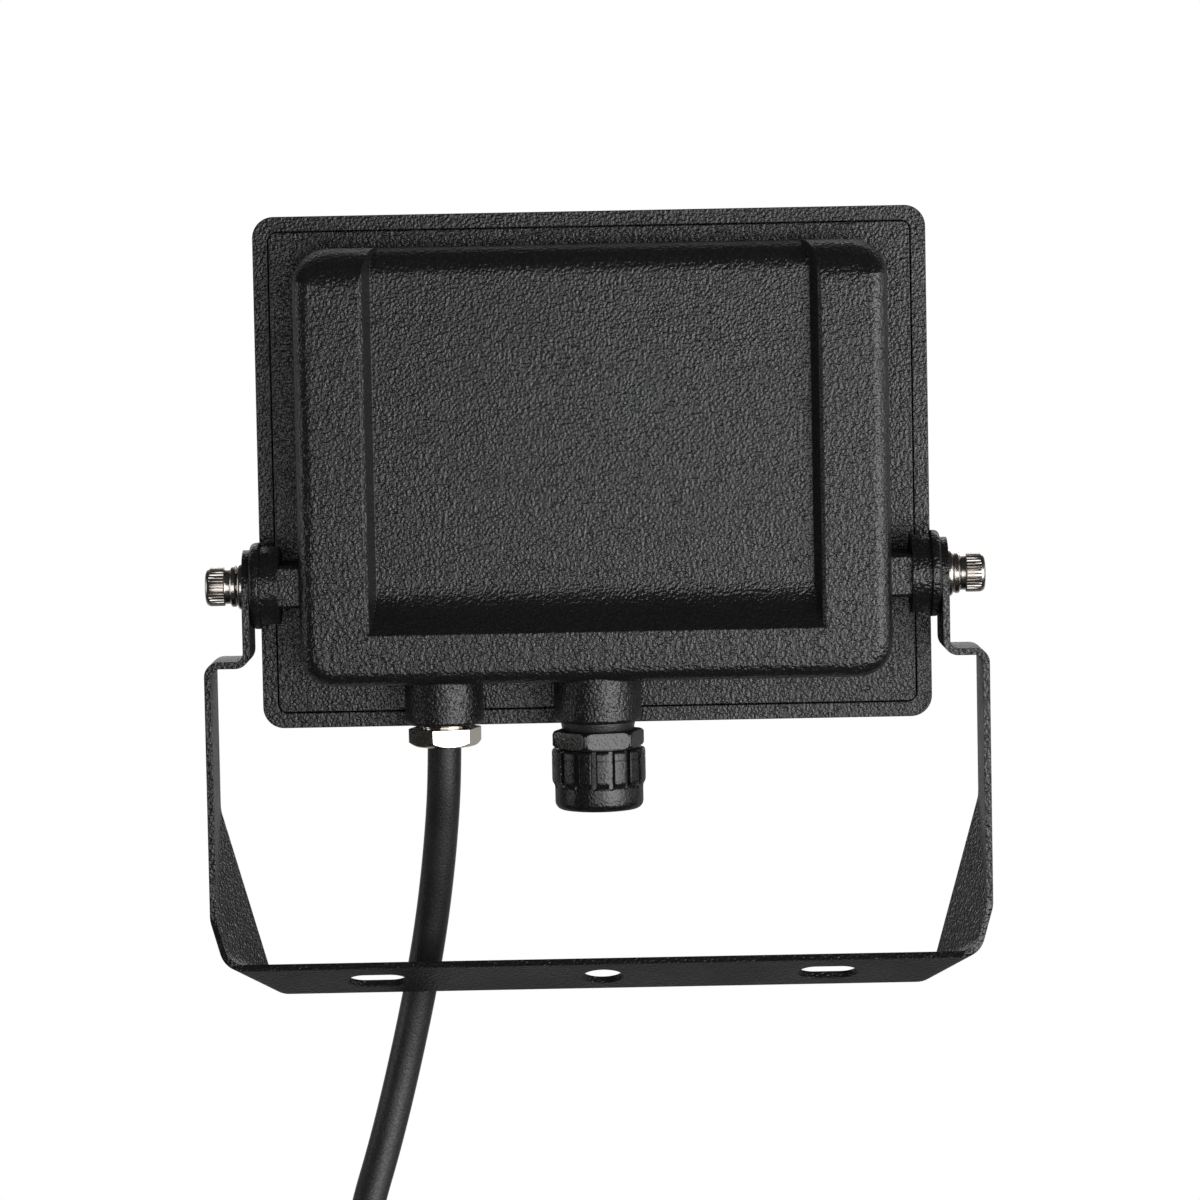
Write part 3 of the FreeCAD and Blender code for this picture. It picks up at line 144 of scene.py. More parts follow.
def math_node(tree, operation, first, second):
    """Result of one operation on two sockets or numbers."""
    made = tree.nodes.new("ShaderNodeMath")
    made.operation = operation
    for socket, value in zip(made.inputs, (first, second)):
        if isinstance(value, bpy.types.NodeSocket):
            tree.links.new(value, socket)
        else:
            socket.default_value = value
    return made.outputs[0]


def noise(mat, scale, detail=2.0, rough=0.5, stretch=(1, 1, 1)):
    spot = add(mat, "ShaderNodeTexCoord")
    stretched = add(mat, "ShaderNodeMapping", Scale=stretch)
    wire(mat, spot.outputs["Object"], stretched.inputs["Vector"])
    made = add(mat, "ShaderNodeTexNoise", Scale=scale, Detail=detail, Roughness=rough)
    wire(mat, stretched.outputs["Vector"], made.inputs["Vector"])
    return made


def ramp(mat, source, stops):
    """Colour ramp over a grey value; stops are (place, colour)."""
    made = add(mat, "ShaderNodeValToRGB")
    elements = made.color_ramp.elements
    while len(elements) < len(stops):
        elements.new(0.5)
    for element, (place, color) in zip(elements, stops):
        element.position = place
        element.color = (*color, 1)
    wire(mat, source, made.inputs["Fac"])
    return made


def grey_ramp(mat, source, low, high, start=0.35, end=0.65):
    return ramp(mat, source, [(start, (low,) * 3), (end, (high,) * 3)])


def bump(mat, shader, source, depth, edge=0.0):
    """Bump of a given depth over normals that are softened along edges."""
    made = add(mat, "ShaderNodeBump", Distance=depth)
    wire(mat, source, made.inputs["Height"])
    if edge:
        soft = add(mat, "ShaderNodeBevel", Radius=edge)
        wire(mat, soft.outputs["Normal"], made.inputs["Normal"])
    wire(mat, made.outputs["Normal"], shader.inputs["Normal"])


def grained(name, dark, light, rough, grain, depth, edge=0.0):
    """Black coat or plastic with a fine grain whose crests carry a painted highlight in a lighter colour,
    and duller at a slant.
    """
    mat, shader = new_material(name, dark, rough)
    crests = noise(mat, grain, 1.0, 0.5)
    # The lighter colour on the grain crests is a painted highlight standing in for the glints of the grain.
    tone = ramp(mat, crests.outputs["Fac"], [(0.45, dark), (0.7, light)])
    wire(mat, tone.outputs["Color"], shader.inputs["Base Color"])
    patches = noise(mat, 45.0, 2.0)
    dry = grey_ramp(mat, patches.outputs["Fac"], rough - 0.03, rough + 0.03)
    slant = add(mat, "ShaderNodeLayerWeight", Blend=0.5)
    veil = grey_ramp(mat, slant.outputs["Facing"], 0.0, 0.38, 0.4, 0.95)
    total = math_node(mat.node_tree, "ADD", dry.outputs["Color"], veil.outputs["Color"])
    wire(mat, total, shader.inputs["Roughness"])
    bump(mat, shader, crests.outputs["Fac"], depth, edge)
    return mat


def polished(name, color, rough, stretch):
    """Bright metal with fine turning or drawing marks and uneven polish."""
    mat, shader = new_material(name, color, rough, 1.0)
    marks = noise(mat, 900.0, 3.0, 0.6, stretch)
    uneven = grey_ramp(mat, marks.outputs["Fac"], rough * 0.75, rough * 1.35)
    wire(mat, uneven.outputs["Color"], shader.inputs["Roughness"])
    clouds = noise(mat, 150.0, 2.0)
    stain = ramp(mat, clouds.outputs["Fac"], [(0.35, tuple(0.86 * c for c in color)), (0.65, color)])
    wire(mat, stain.outputs["Color"], shader.inputs["Base Color"])
    bump(mat, shader, marks.outputs["Fac"], 0.00002)
    return mat


def moulded(name, color, rough, depth=0.00004, spread=0.92):
    """Plain coloured plastic or ceramic with a faint skin and small changes of tone."""
    mat, shader = new_material(name, color, rough)
    skin = noise(mat, 1400.0, 2.0)
    clouds = noise(mat, 120.0, 2.0)
    tone = ramp(mat, clouds.outputs["Fac"], [(0.35, tuple(spread * c for c in color)), (0.65, color)])
    wire(mat, tone.outputs["Color"], shader.inputs["Base Color"])
    bump(mat, shader, skin.outputs["Fac"], depth)
    return mat


def sheath_rubber(name, dark, rough):
    """Matt rubber with dust in its pores."""
    mat, shader = new_material(name, dark, rough)
    pores = noise(mat, 1600.0, 3.0)
    dust = noise(mat, 90.0, 3.0)
    tone = ramp(mat, dust.outputs["Fac"], [(0.35, dark), (0.75, tuple(1.7 * c for c in dark))])
    wire(mat, tone.outputs["Color"], shader.inputs["Base Color"])
    dry = grey_ramp(mat, pores.outputs["Fac"], rough - 0.08, rough + 0.08)
    wire(mat, dry.outputs["Color"], shader.inputs["Roughness"])
    bump(mat, shader, pores.outputs["Fac"], 0.00012)
    return mat


def striped_core():
    """Insulation of the earth core, yellow on one side and green on the other."""
    mat, shader = new_material("core_green_yellow", (0.1, 0.35, 0.05), 0.4)
    spot = add(mat, "ShaderNodeTexCoord")
    split = add(mat, "ShaderNodeSeparateXYZ")
    wire(mat, spot.outputs["Object"], split.inputs[0])
    side = add(mat, "ShaderNodeMapRange")
    wire(mat, split.outputs["X"], side.inputs["Value"])
    middle = CORD_END.x - CORE_CIRCLE / 2 * MM
    side.inputs["From Min"].default_value = middle - 0.0001
    side.inputs["From Max"].default_value = middle + 0.0001
    tone = ramp(mat, side.outputs["Result"], [(0.3, (0.75, 0.6, 0.03)), (0.7, (0.05, 0.3, 0.06))])
    wire(mat, tone.outputs["Color"], shader.inputs["Base Color"])
    skin = noise(mat, 1400.0, 2.0)
    bump(mat, shader, skin.outputs["Fac"], 0.00003)
    return mat


def clear_glass():
    """Tempered glass with a faint wave in its surface."""
    mat, shader = new_material("clear_glass", (0.985, 0.995, 0.99), 0.0)
    shader.inputs["Transmission Weight"].default_value = 1.0
    shader.inputs["IOR"].default_value = 1.5
    waves = noise(mat, 30.0, 1.0)
    bump(mat, shader, waves.outputs["Fac"], 0.00002)
    return mat


# The second colour of each grained finish is the painted highlight on its grain crests.
cast_coat = grained(
    "cast_coat", (0.005, 0.005, 0.0052), (0.0075, 0.0078, 0.0082), 0.24, GRAIN, 0.00034, edge=0.0004)
sheet_coat = grained(
    "sheet_coat", (0.005, 0.005, 0.0052), (0.0065, 0.0065, 0.0068), 0.25, GRAIN, 0.00032, edge=0.0003)
disc_coat = grained("disc_coat", (0.004, 0.004, 0.004), (0.01, 0.01, 0.01), 0.24, GRAIN, 0.0003)
cap_plastic = grained("cap_plastic", (0.004, 0.004, 0.004), (0.009, 0.009, 0.009), 0.24, 1500.0, 0.00012)
tie_plastic = grained("tie_plastic", (0.012, 0.012, 0.012), (0.02, 0.02, 0.02), 0.4, 1800.0, 0.00005)
cord_rubber = sheath_rubber("cord_rubber", (0.007, 0.007, 0.007), 0.45)
seal_rubber = sheath_rubber("seal_rubber", (0.009, 0.009, 0.009), 0.4)
steel = polished("stainless", (0.62, 0.58, 0.54), 0.2, (1, 6, 6))
nickel = polished("nickel_plate", (0.8, 0.75, 0.66), 0.1, (1, 1, 5))
brass = polished("contact_brass", (0.8, 0.62, 0.3), 0.22, (1, 1, 0.3))
tin = polished("tinned_copper", (0.72, 0.71, 0.7), 0.3, (1, 1, 0.3))
tray_white = moulded("tray_white", (0.82, 0.82, 0.81), 0.28, 0.00006, 0.97)
board_white = moulded("board_lacquer", (0.78, 0.79, 0.77), 0.35, 0.00003, 0.96)
chip_white = moulded("chip_package", (0.8, 0.8, 0.76), 0.4)
phosphor = moulded("chip_phosphor", (0.85, 0.68, 0.1), 0.5, 0.00003, 0.85)
black_resin = moulded("black_resin", (0.02, 0.02, 0.02), 0.5)
fuse_ceramic = moulded("fuse_ceramic", (0.7, 0.62, 0.45), 0.6)
varistor_blue = moulded("varistor_resin", (0.03, 0.12, 0.4), 0.25)
can_sleeve = moulded("capacitor_sleeve", (0.03, 0.03, 0.05), 0.3)
terminal_grey = moulded("terminal_plastic", (0.7, 0.7, 0.68), 0.45)
core_brown = moulded("core_brown", (0.16, 0.06, 0.025), 0.4)
core_blue = moulded("core_blue", (0.03, 0.12, 0.42), 0.4)
core_earth = striped_core()
lead_red = moulded("lead_red", (0.42, 0.03, 0.025), 0.4)
glass = clear_glass()

NODE_FINISHES = [
    (sheet_coat, ["bracket"]),
    (cast_coat, ["rear_housing", "front_frame"]),
    (seal_rubber, ["gland_seal", "glass_gasket"]),
    (steel, ["board_screws"]),
    (tray_white, ["reflector"]),
    (board_white, ["led_board"]),
    (terminal_grey, ["terminal_block"]),
    (black_resin, ["bridge_rectifier", "driver_chips"]),
    (fuse_ceramic, ["fuse"]),
    (varistor_blue, ["varistor"]),
    (can_sleeve, ["capacitor"]),
    (core_brown, ["supply_leads"]),
    (lead_red, ["sensor_leads"]),
    (glass, ["front_glass"]),
]
for finish, names in NODE_FINISHES:
    for name in names:
        slots = node(name).data.materials
        slots.clear()
        slots.append(finish)


# Cord

def coil_route():
    """Corners of the coil's turns, around the circle that the cord touches, then its straight free end."""
    step = 2 * math.pi / COIL_CORNERS
    reach = COIL_RADIUS / math.cos(step / 2)
    points = []
    count = COIL_CORNERS * COIL_TURNS
    for i in range(count + 1):
        angle = math.pi + (i - 0.5) * step
        shift = COIL_DEPTH * i / count
        points.append(COIL_CENTRE + Vector((reach * math.cos(angle), shift, reach * math.sin(angle))))
    return points + [CORD_END]


def linked(name, data):
    obj = bpy.data.objects.new(name, data)
    bpy.context.scene.collection.objects.link(obj)
    return obj


def evaluated_mesh(obj):
    """Plain mesh of an object as its modifiers or its bevel leave it."""
    graph = bpy.context.evaluated_depsgraph_get()
    graph.update()
    return bpy.data.meshes.new_from_object(obj.evaluated_get(graph))


def route_curve(name, points, segments):
    """Open smooth curve with the given points as its control points."""
    curve = bpy.data.curves.new(name, "CURVE")
    curve.dimensions = "3D"
    spline = curve.splines.new("NURBS")
    spline.points.add(len(points) - 1)
    for spot, p in zip(spline.points, points):
        spot.co = (*p, 1)
    spline.order_u = 3
    spline.use_endpoint_u = True
    spline.resolution_u = segments
    return linked(name, curve)


def line_of(obj):
    """Points along a curve that has no bevel."""
    mesh = evaluated_mesh(obj)
    points = [v.co.copy() for v in mesh.vertices]
    bpy.data.meshes.remove(mesh)
    return points


def make_cord(loose_pieces):
    """Supply cord from the gland to its bared end. The pieces that lie on it are passed in but not used."""
    points = [PIVOT + Vector(p) for p in CORD_ROUTE] + [PIVOT + p for p in coil_route()]
    guide = route_curve("cord_guide", points, 8)
    line = line_of(guide)
    guide.data.bevel_depth = CORD_DIAMETER / 2
    guide.data.bevel_resolution = 6
    guide.data.use_fill_caps = True
    mesh = evaluated_mesh(guide)
    mesh.materials.clear()
    mesh.materials.append(cord_rubber)
    obj = linked("supply_lead", mesh)
    bpy.data.objects.remove(guide)
    smooth(mesh)
    length = sum((b - a).length for a, b in zip(line, line[1:]))
    tuple(points[1])
    tuple(points[7])
    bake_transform(obj)
    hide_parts("supply_cord", "cord_coil")
    tuple(points[0])
    [tuple(p) for p in line]


# Shapes

def smooth(mesh, corner=35):
    """Smooth shading that keeps edges sharper than the given corner, in degrees."""
    mesh.polygons.foreach_set("use_smooth", [True] * len(mesh.polygons))
    mesh.set_sharp_from_angle(angle=math.radians(corner))


def piece(name, mesh, finish, body, slot, *nodes):
    """Object at the origin that rides on a body and stands for CAD nodes."""
    mesh.materials.clear()
    mesh.materials.append(finish)
    for face in mesh.polygons:
        face.material_index = 0
    obj = linked(name, mesh)
    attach(obj, body)
    if nodes:
        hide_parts(*nodes)
    return obj


def closed(shape, name):
    """Mesh of a closed shape with its doubles merged and its faces pointing outwards."""
    bmesh.ops.remove_doubles(shape, verts=shape.verts, dist=0.0005)
    bmesh.ops.recalc_face_normals(shape, faces=shape.faces)
    mesh = bpy.data.meshes.new(name)
    shape.to_mesh(mesh)
    shape.free()
    return mesh


def placed(mesh, spot, turn=Matrix.Identity(4)):
    """Bring a mesh that is drawn in millimetres about its own axis to its place about the pivot."""
    mesh.transform(Matrix.Translation(PIVOT + Vector(spot) * MM) @ turn @ Matrix.Scale(MM, 4))
    mesh.update()
    return mesh


def soft_line(corners, steps=4):
    """Profile from corners (radius, height, rounding)."""
    line = []
    for i, (radius, height, rounding) in enumerate(corners):
        here = Vector((radius, height))
        if not rounding:
            line.append(here)
            continue
        before = (Vector(corners[i - 1][:2]) - here).normalized() * rounding
        after = (Vector(corners[(i + 1) % len(corners)][:2]) - here).normalized() * rounding
        for step in range(steps + 1):
            t = step / steps
            line.append(here + before * (1 - t) ** 2 + after * t ** 2)
    return line


def sector_shape(rows, angles):
    """Part of a body about Z. Each row is a height and a rule that gives the radius at an angle."""
    shape = bmesh.new()
    rings = []
    for height, rule in rows:
        radii = [rule(a) for a in angles]
        if max(radii) == 0:
            rings.append([shape.verts.new((0, 0, height))] * len(angles))
            continue
        rings.append([shape.verts.new((r * math.cos(a), r * math.sin(a), height))
                      for r, a in zip(radii, angles)])
    for low, high in zip(rings, rings[1:]):
        for i in range(len(angles) - 1):
            corners = list(dict.fromkeys([low[i], low[i + 1], high[i + 1], high[i]]))
            if len(corners) > 2:
                shape.faces.new(corners)
    return shape


def even_angles(count, whole=2 * math.pi):
    return [whole * i / count for i in range(count + 1)]


def round_rule(radius):
    return lambda angle: radius


def turned(name, corners, loop=False, count=64, steps=4):
    """Turned body from a profile that runs outwards, up and back, closed on the axis or onto itself."""
    line = soft_line(corners, steps)
    if loop:
        line.append(line[0])
    shape = sector_shape([(p.y, round_rule(p.x)) for p in line], even_angles(count))
    return closed(shape, name)


def hexagon_rule(corner, cut=math.inf):
    """Hexagon with a corner at angle 0, turned down to the radius cut."""
    half = math.pi / 6
    return lambda angle: min(corner * math.cos(half) / math.cos(angle % (2 * half) - half), cut)


def ridged_rule(radius, depth, ridges):
    """Straight knurl: narrow furrows between flat ridges."""
    pitch = 2 * math.pi / ridges

    def rule(angle):
        from_furrow = abs((angle / pitch + 0.5) % 1 - 0.5)
        return radius - depth * max(0.0, 1 - from_furrow * 4)
    return rule


# Geometry nodes

def add_input(tree, name, kind, value=None):
    socket = tree.interface.new_socket(name, in_out="INPUT", socket_type=kind)
    if value is not None:
        socket.default_value = value
    return socket


def new_tree(name, inputs):
    """Node tree with named inputs and one geometry output."""
    tree = bpy.data.node_groups.new(name, "GeometryNodeTree")
    add_input(tree, "Geometry", "NodeSocketGeometry")
    for title, kind, value in inputs:
        add_input(tree, title, kind, value)
    tree.interface.new_socket("Geometry", in_out="OUTPUT", socket_type="NodeSocketGeometry")
    return tree, tree.nodes.new("NodeGroupInput"), tree.nodes.new("NodeGroupOutput")


def step_node(tree, kind, **links):
    """Node whose inputs are linked to sockets or given values."""
    made = tree.nodes.new(kind)
    for key, value in links.items():
        socket = made.inputs[key.replace("_", " ")]
        if isinstance(value, bpy.types.NodeSocket):
            tree.links.new(value, socket)
        else:
            socket.default_value = value
    return made


def finish_tree(tree, geometry, given, end):
    """Real geometry with merged seams and its material at the end of a tree."""
    real = step_node(tree, "GeometryNodeRealizeInstances", Geometry=geometry)
    merged = step_node(tree, "GeometryNodeMergeByDistance", Geometry=real.outputs[0],
                       Distance=given.outputs["Seam"])
    dressed = step_node(tree, "GeometryNodeSetMaterial", Geometry=merged.outputs[0],
                        Material=given.outputs["Finish"])
    tree.links.new(dressed.outputs[0], end.inputs[0])


def around_axis_tree():
    """Copies of one sector side by side around Z, merged into one body."""
    tree, given, end = new_tree("around_axis", [
        ("Copies", "NodeSocketInt", 6), ("Seam", "NodeSocketFloat", 0.001),
        ("Finish", "NodeSocketMaterial", None)])
    points = step_node(tree, "GeometryNodePoints", Count=given.outputs["Copies"])
    number = tree.nodes.new("GeometryNodeInputIndex").outputs[0]
    step = math_node(tree, "DIVIDE", 2 * math.pi, given.outputs["Copies"])
    angle = math_node(tree, "MULTIPLY", step, number)
    turn = step_node(tree, "ShaderNodeCombineXYZ", Z=angle)
    copies = step_node(tree, "GeometryNodeInstanceOnPoints", Points=points.outputs[0],
                       Instance=given.outputs["Geometry"], Rotation=turn.outputs[0])
    finish_tree(tree, copies.outputs[0], given, end)
    return tree


def grid_tree():
    """Copies of one part in rows and columns on the XY plane."""
    tree, given, end = new_tree("rows_and_columns", [
        ("Columns", "NodeSocketInt", 8), ("Rows", "NodeSocketInt", 5),
        ("Column Pitch", "NodeSocketFloat", 11.0), ("Row Pitch", "NodeSocketFloat", 10.0),
        ("Seam", "NodeSocketFloat", 0.001), ("Finish", "NodeSocketMaterial", None)])
    wide = math_node(tree, "SUBTRACT", given.outputs["Columns"], 1.0)
    wide = math_node(tree, "MULTIPLY", wide, given.outputs["Column Pitch"])
    tall = math_node(tree, "SUBTRACT", given.outputs["Rows"], 1.0)
    tall = math_node(tree, "MULTIPLY", tall, given.outputs["Row Pitch"])
    spots = step_node(tree, "GeometryNodeMeshGrid", Size_X=wide, Size_Y=tall,
                      Vertices_X=given.outputs["Columns"], Vertices_Y=given.outputs["Rows"])
    copies = step_node(tree, "GeometryNodeInstanceOnPoints", Points=spots.outputs[0],
                       Instance=given.outputs["Geometry"])
    finish_tree(tree, copies.outputs[0], given, end)
    return tree


def thread_tree():
    """Ridge of a screw thread that climbs around the core given as geometry."""
    tree, given, end = new_tree("thread", [
        ("Radius", "NodeSocketFloat", 6.5), ("Pitch", "NodeSocketFloat", 1.0),
        ("Length", "NodeSocketFloat", 5.0), ("Ridge", "NodeSocketFloat", 0.4),
        ("Start", "NodeSocketFloat", 0.0), ("Seam", "NodeSocketFloat", 0.001),
        ("Finish", "NodeSocketMaterial", None)])
    turns = math_node(tree, "DIVIDE", given.outputs["Length"], given.outputs["Pitch"])
    climb = step_node(tree, "GeometryNodeCurveSpiral", Resolution=48, Rotations=turns,
                      Start_Radius=given.outputs["Radius"], End_Radius=given.outputs["Radius"],
                      Height=given.outputs["Length"])
    upright = step_node(tree, "GeometryNodeSetCurveNormal", Curve=climb.outputs[0])
    upright.mode = "Z_UP"
    section = step_node(tree, "GeometryNodeCurvePrimitiveCircle", Resolution=6,
                        Radius=given.outputs["Ridge"])
    ridge = step_node(tree, "GeometryNodeCurveToMesh", Curve=upright.outputs[0],
                      Profile_Curve=section.outputs[0], Fill_Caps=True)
    lift = step_node(tree, "ShaderNodeCombineXYZ", Z=given.outputs["Start"])
    raised = step_node(tree, "GeometryNodeTransform", Geometry=ridge.outputs[0],
                       Translation=lift.outputs[0])
    both = tree.nodes.new("GeometryNodeJoinGeometry")
    tree.links.new(given.outputs["Geometry"], both.inputs[0])
    tree.links.new(raised.outputs[0], both.inputs[0])
    finish_tree(tree, both.outputs[0], given, end)
    return tree


def grown(name, tree, mesh, finish, **sizes):
    """Mesh that a node tree makes from a first mesh, with the tree's inputs set by their names."""
    obj = linked(name, mesh)
    modifier = obj.modifiers.new(tree.name, "NODES")
    modifier.node_group = tree
    wanted = {key.replace("_", " "): value for key, value in sizes.items()}
    wanted["Finish"] = finish
    for item in tree.interface.items_tree:
        if item.item_type == "SOCKET" and item.in_out == "INPUT" and item.name in wanted:
            modifier[item.identifier] = wanted[item.name]
    made = evaluated_mesh(obj)
    made.name = name
    bpy.data.objects.remove(obj)
    bpy.data.meshes.remove(mesh)
    shape = bmesh.new()
    shape.from_mesh(made)
    bmesh.ops.recalc_face_normals(shape, faces=shape.faces)
    shape.to_mesh(made)
    shape.free()
    return made


def sector_mesh(name, rows, angles):
    """First mesh for a body that is grown from equal sectors."""
    mesh = bpy.data.meshes.new(name)
    shape = sector_shape(rows, angles)
    shape.to_mesh(mesh)
    shape.free()
    return mesh


AROUND_AXIS = around_axis_tree()
ROWS_AND_COLUMNS = grid_tree()
THREAD = thread_tree()


# Pivots

def about_z(degrees):
    return Matrix.Rotation(math.radians(degrees), 4, "Z")


def facing(side):
    """Turn that points a piece's own Z outwards, to the left or the right."""
    return Matrix.Rotation(math.radians(90 if side > 0 else -90), 4, "Y")


def round_rows(*sizes):
    """Rows of a body whose section is round, from (height, radius) pairs."""
    return [(height, round_rule(radius)) for height, radius in sizes]


def knurled_screw():
    """Socket-head screw from six equal sectors, with its seat at height 0."""
    knurl = ridged_rule(5.0, 0.22, 36)
    key = hexagon_rule(2.887)
    shank = round_rows((-16.0, 0), (-16.0, 2.4), (-15.4, 3.0), (0.0, 3.0))
    neck = round_rows((0.0, 4.35), (0.12, 4.5), (1.15, 4.5), (1.35, 4.6))
    crown = round_rows((5.3, 4.95), (5.65, 4.84), (5.95, 4.64), (6.18, 4.34), (6.3, 3.95), (6.3, 3.15))
    socket = [(6.2, hexagon_rule(2.95)), (6.05, key), (3.5, key), (3.5, hexagon_rule(2.6)),
              (3.0, round_rule(0))]
    rows = shank + neck + [(1.6, knurl), (3.2, knurl), (5.0, knurl)] + crown + socket
    sector = sector_mesh("screw_sector", rows, even_angles(24, math.pi / 3))
    mesh = grown("knurled_screw", AROUND_AXIS, sector, steel, Copies=6)
    smooth(mesh, 28)
    return mesh


def join_rings(shape, rings):
    """Skin between closed rings of points, each joined to the next."""
    for a, b in zip(rings, rings[1:]):
        for i in range(len(a)):
            j = (i + 1) % len(a)
            shape.faces.new([a[i], a[j], b[j], b[i]])


def split_ring():
    """Spring washer: rectangular wire with soft edges that climbs once around, short of itself."""
    inner, outer, high, climb, gap = 3.15, 5.3, 1.5, 0.3, 0.1
    section = [(inner + 0.25, 0), (outer - 0.35, 0), (outer, 0.35), (outer, high - 0.35),
               (outer - 0.35, high), (inner + 0.25, high), (inner, high - 0.25), (inner, 0.25)]
    shape = bmesh.new()
    rings = []
    steps = 56
    for i in range(steps + 1):
        t = i / steps
        angle = gap + t * (2 * math.pi - 2 * gap)
        rings.append([shape.verts.new((r * math.cos(angle), r * math.sin(angle), h + climb * t))
                      for r, h in section])
    join_rings(shape, rings)
    shape.faces.new(rings[0])
    shape.faces.new(rings[-1])
    return closed(shape, "split_ring")


def make_pivot(side, word):
    """Disc against the arm's inside, then washers and screw on its outside."""
    turn = facing(side)
    disc = turned(word + "_disc_body", [
        (3.0, 0, 0), (11.1, 0, 0.3), (11.1, 2.5, 1.7), (3.0, 2.5, 0)], loop=True, count=96, steps=6)
    smooth(disc)
    piece(word + "_friction_disc", placed(disc, (side * RING_OUTSIDE, 0, 0), turn), disc_coat, "head",
          "disc_plastic", word + "_disc")
    flat = turned(word + "_washer_body", [
        (3.1, 0, 0), (6.0, 0, 0.2), (6.0, 1.1, 0.4), (5.2, FLAT_WASHER_THICK, 0.3),
        (3.1, FLAT_WASHER_THICK, 0.2)], loop=True)
    smooth(flat)
    piece(word + "_plain_washer", placed(flat, (side * ARM_OUTSIDE, 0, 0), turn), steel, "head",
          "stainless", word + "_flat_washer")
    ring = split_ring()
    smooth(ring)
    slit = about_z(180 if side > 0 else 0)
    ring = placed(ring, (side * (ARM_OUTSIDE + FLAT_WASHER_THICK), 0, 0), turn @ slit)
    piece(word + "_split_washer", ring, steel, "head", "stainless", word + "_spring_washer")
    screw = knurled_screw()
    piece(word + "_knurled_screw", placed(screw, (side * HEAD_START, 0, 0), turn), steel, "head",
          "stainless", word + "_screw")


make_pivot(-1, "left")
make_pivot(1, "right")


# Cable gland

def make_gland():
    """Hexagon screw in bright nickel, with the thread that shows between it and the housing."""
    corner, bore, neck, steps = 9.5, 4.65, 6.4, 12
    chamfer = [(0.1 * i, hexagon_rule(corner, 7.7 + 1.85 * (i / steps) ** 0.8)) for i in range(steps + 1)]
    top = [(4.55, hexagon_rule(corner, 9.6)), (4.7, hexagon_rule(9.38, 9.3)),
           (GLAND_HEX_HIGH, hexagon_rule(9.2, 9.1))]
    inside = round_rows((GLAND_HEX_HIGH, neck), (17.65, neck), (17.65, 5.7), (8.65, 5.7), (8.65, bore),
                        (0.35, bore))
    rows = round_rows((0.35, bore), (0.1, 4.8), (0.0, 5.1)) + chamfer + top + inside
    foot = BOSS_BOTTOM - GLAND_RING_THICK - GLAND_HEX_HIGH
    sector = sector_mesh("gland_sector", rows, even_angles(36, math.pi / 3))
    screw = grown("gland_hexagon", AROUND_AXIS, sector, nickel, Copies=6)
    smooth(screw, 25)
    screw = placed(screw, (GLAND_LEFT, 0, foot), about_z(GLAND_TURN))
    piece("gland_hexagon", screw, nickel, "head", "nickel", "supply_gland")
    core = turned("gland_core", [
        (6.3, GLAND_HEX_HIGH, 0), (6.55, GLAND_HEX_HIGH, 0), (6.55, 6.7, 0), (6.3, 6.7, 0)], loop=True)
    thread = grown("gland_thread", THREAD, core, nickel, Radius=6.5, Pitch=0.72, Length=1.75, Ridge=0.3,
                   Start=4.9)
    smooth(thread, 60)
    thread = placed(thread, (GLAND_LEFT, 0, foot))
    piece("gland_thread", thread, nickel, "head", "nickel", "gland_ring")


# Sensor socket and its blind cap

def make_socket():
    """Gasket, hexagon with threaded plug, contacts and seal."""
    gasket = turned("collar", [
        (8.0, 0, 0), (9.15, 0, 0.25), (9.65, COLLAR_HIGH, 0.3), (8.0, COLLAR_HIGH, 0)], loop=True)
    smooth(gasket)
    gasket = placed(gasket, (0, 0, BOSS_BOTTOM - COLLAR_HIGH))
    piece("collar_gasket", gasket, seal_rubber, "head", "rubber", "socket_gasket")
    plug = round_rows((-9.0, 0), (-9.0, 6.2), (-11.8, 6.2), (-12.0, 6.4), (-12.0, 8.2), (-11.6, 8.6),
                      (0.0, 8.6))
    hexagon = [(height, hexagon_rule(12.2, cut)) for height, cut in (
        (0.0, 11.4), (0.25, 11.75), (0.6, 12.1), (3.45, 12.1), (3.8, 11.75), (4.05, 11.4))]
    rows = plug + hexagon + round_rows((4.05, 8.0), (19.45, 8.0), (19.45, 0))
    sector = sector_mesh("socket_sector", rows, even_angles(30, math.pi / 3))
    body = grown("socket_body", AROUND_AXIS, sector, cap_plastic, Copies=6)
    body = grown("socket_plug", THREAD, body, cap_plastic, Radius=8.55, Pitch=1.5, Length=9.0, Ridge=0.42,
                 Start=-10.8)
    smooth(body, 25)
    body = placed(body, (0, 0, SOCKET_LOW), about_z(SOCKET_TURN))
    piece("socket_plug", body, cap_plastic, "head", "black_plastic", "sensor_socket")
    pins = bmesh.new()
    for degrees in (90, 210, 330):
        angle = math.radians(degrees)
        spot = (PIN_CIRCLE * math.cos(angle), PIN_CIRCLE * math.sin(angle), -11.5)
        pin = turned("pin", [
            (0, 0, 0), (0.7, 0, 0.3), (1.0, 0.6, 0.3), (1.0, 12.0, 0), (0, 12.0, 0)], count=24)
        pin.transform(Matrix.Translation(spot))
        pins.from_mesh(pin)
        bpy.data.meshes.remove(pin)
    mesh = bpy.data.meshes.new("pins")
    pins.to_mesh(mesh)
    pins.free()
    smooth(mesh)
    mesh = placed(mesh, (0, 0, SOCKET_LOW))
    piece("contact_pins", mesh, brass, "head", "contact_brass", "socket_contacts")
    seal = turned("seal_ring", [
        (9.0, -CAP_SEAL_THICK, 0.1), (10.15, -CAP_SEAL_THICK, 0.2), (10.15, 0, 0.2), (9.0, 0, 0.1)],
        loop=True)
    smooth(seal)
    piece("seal_ring", placed(seal, (0, 0, SOCKET_LOW)), seal_rubber, "head", "rubber", "cap_seal")


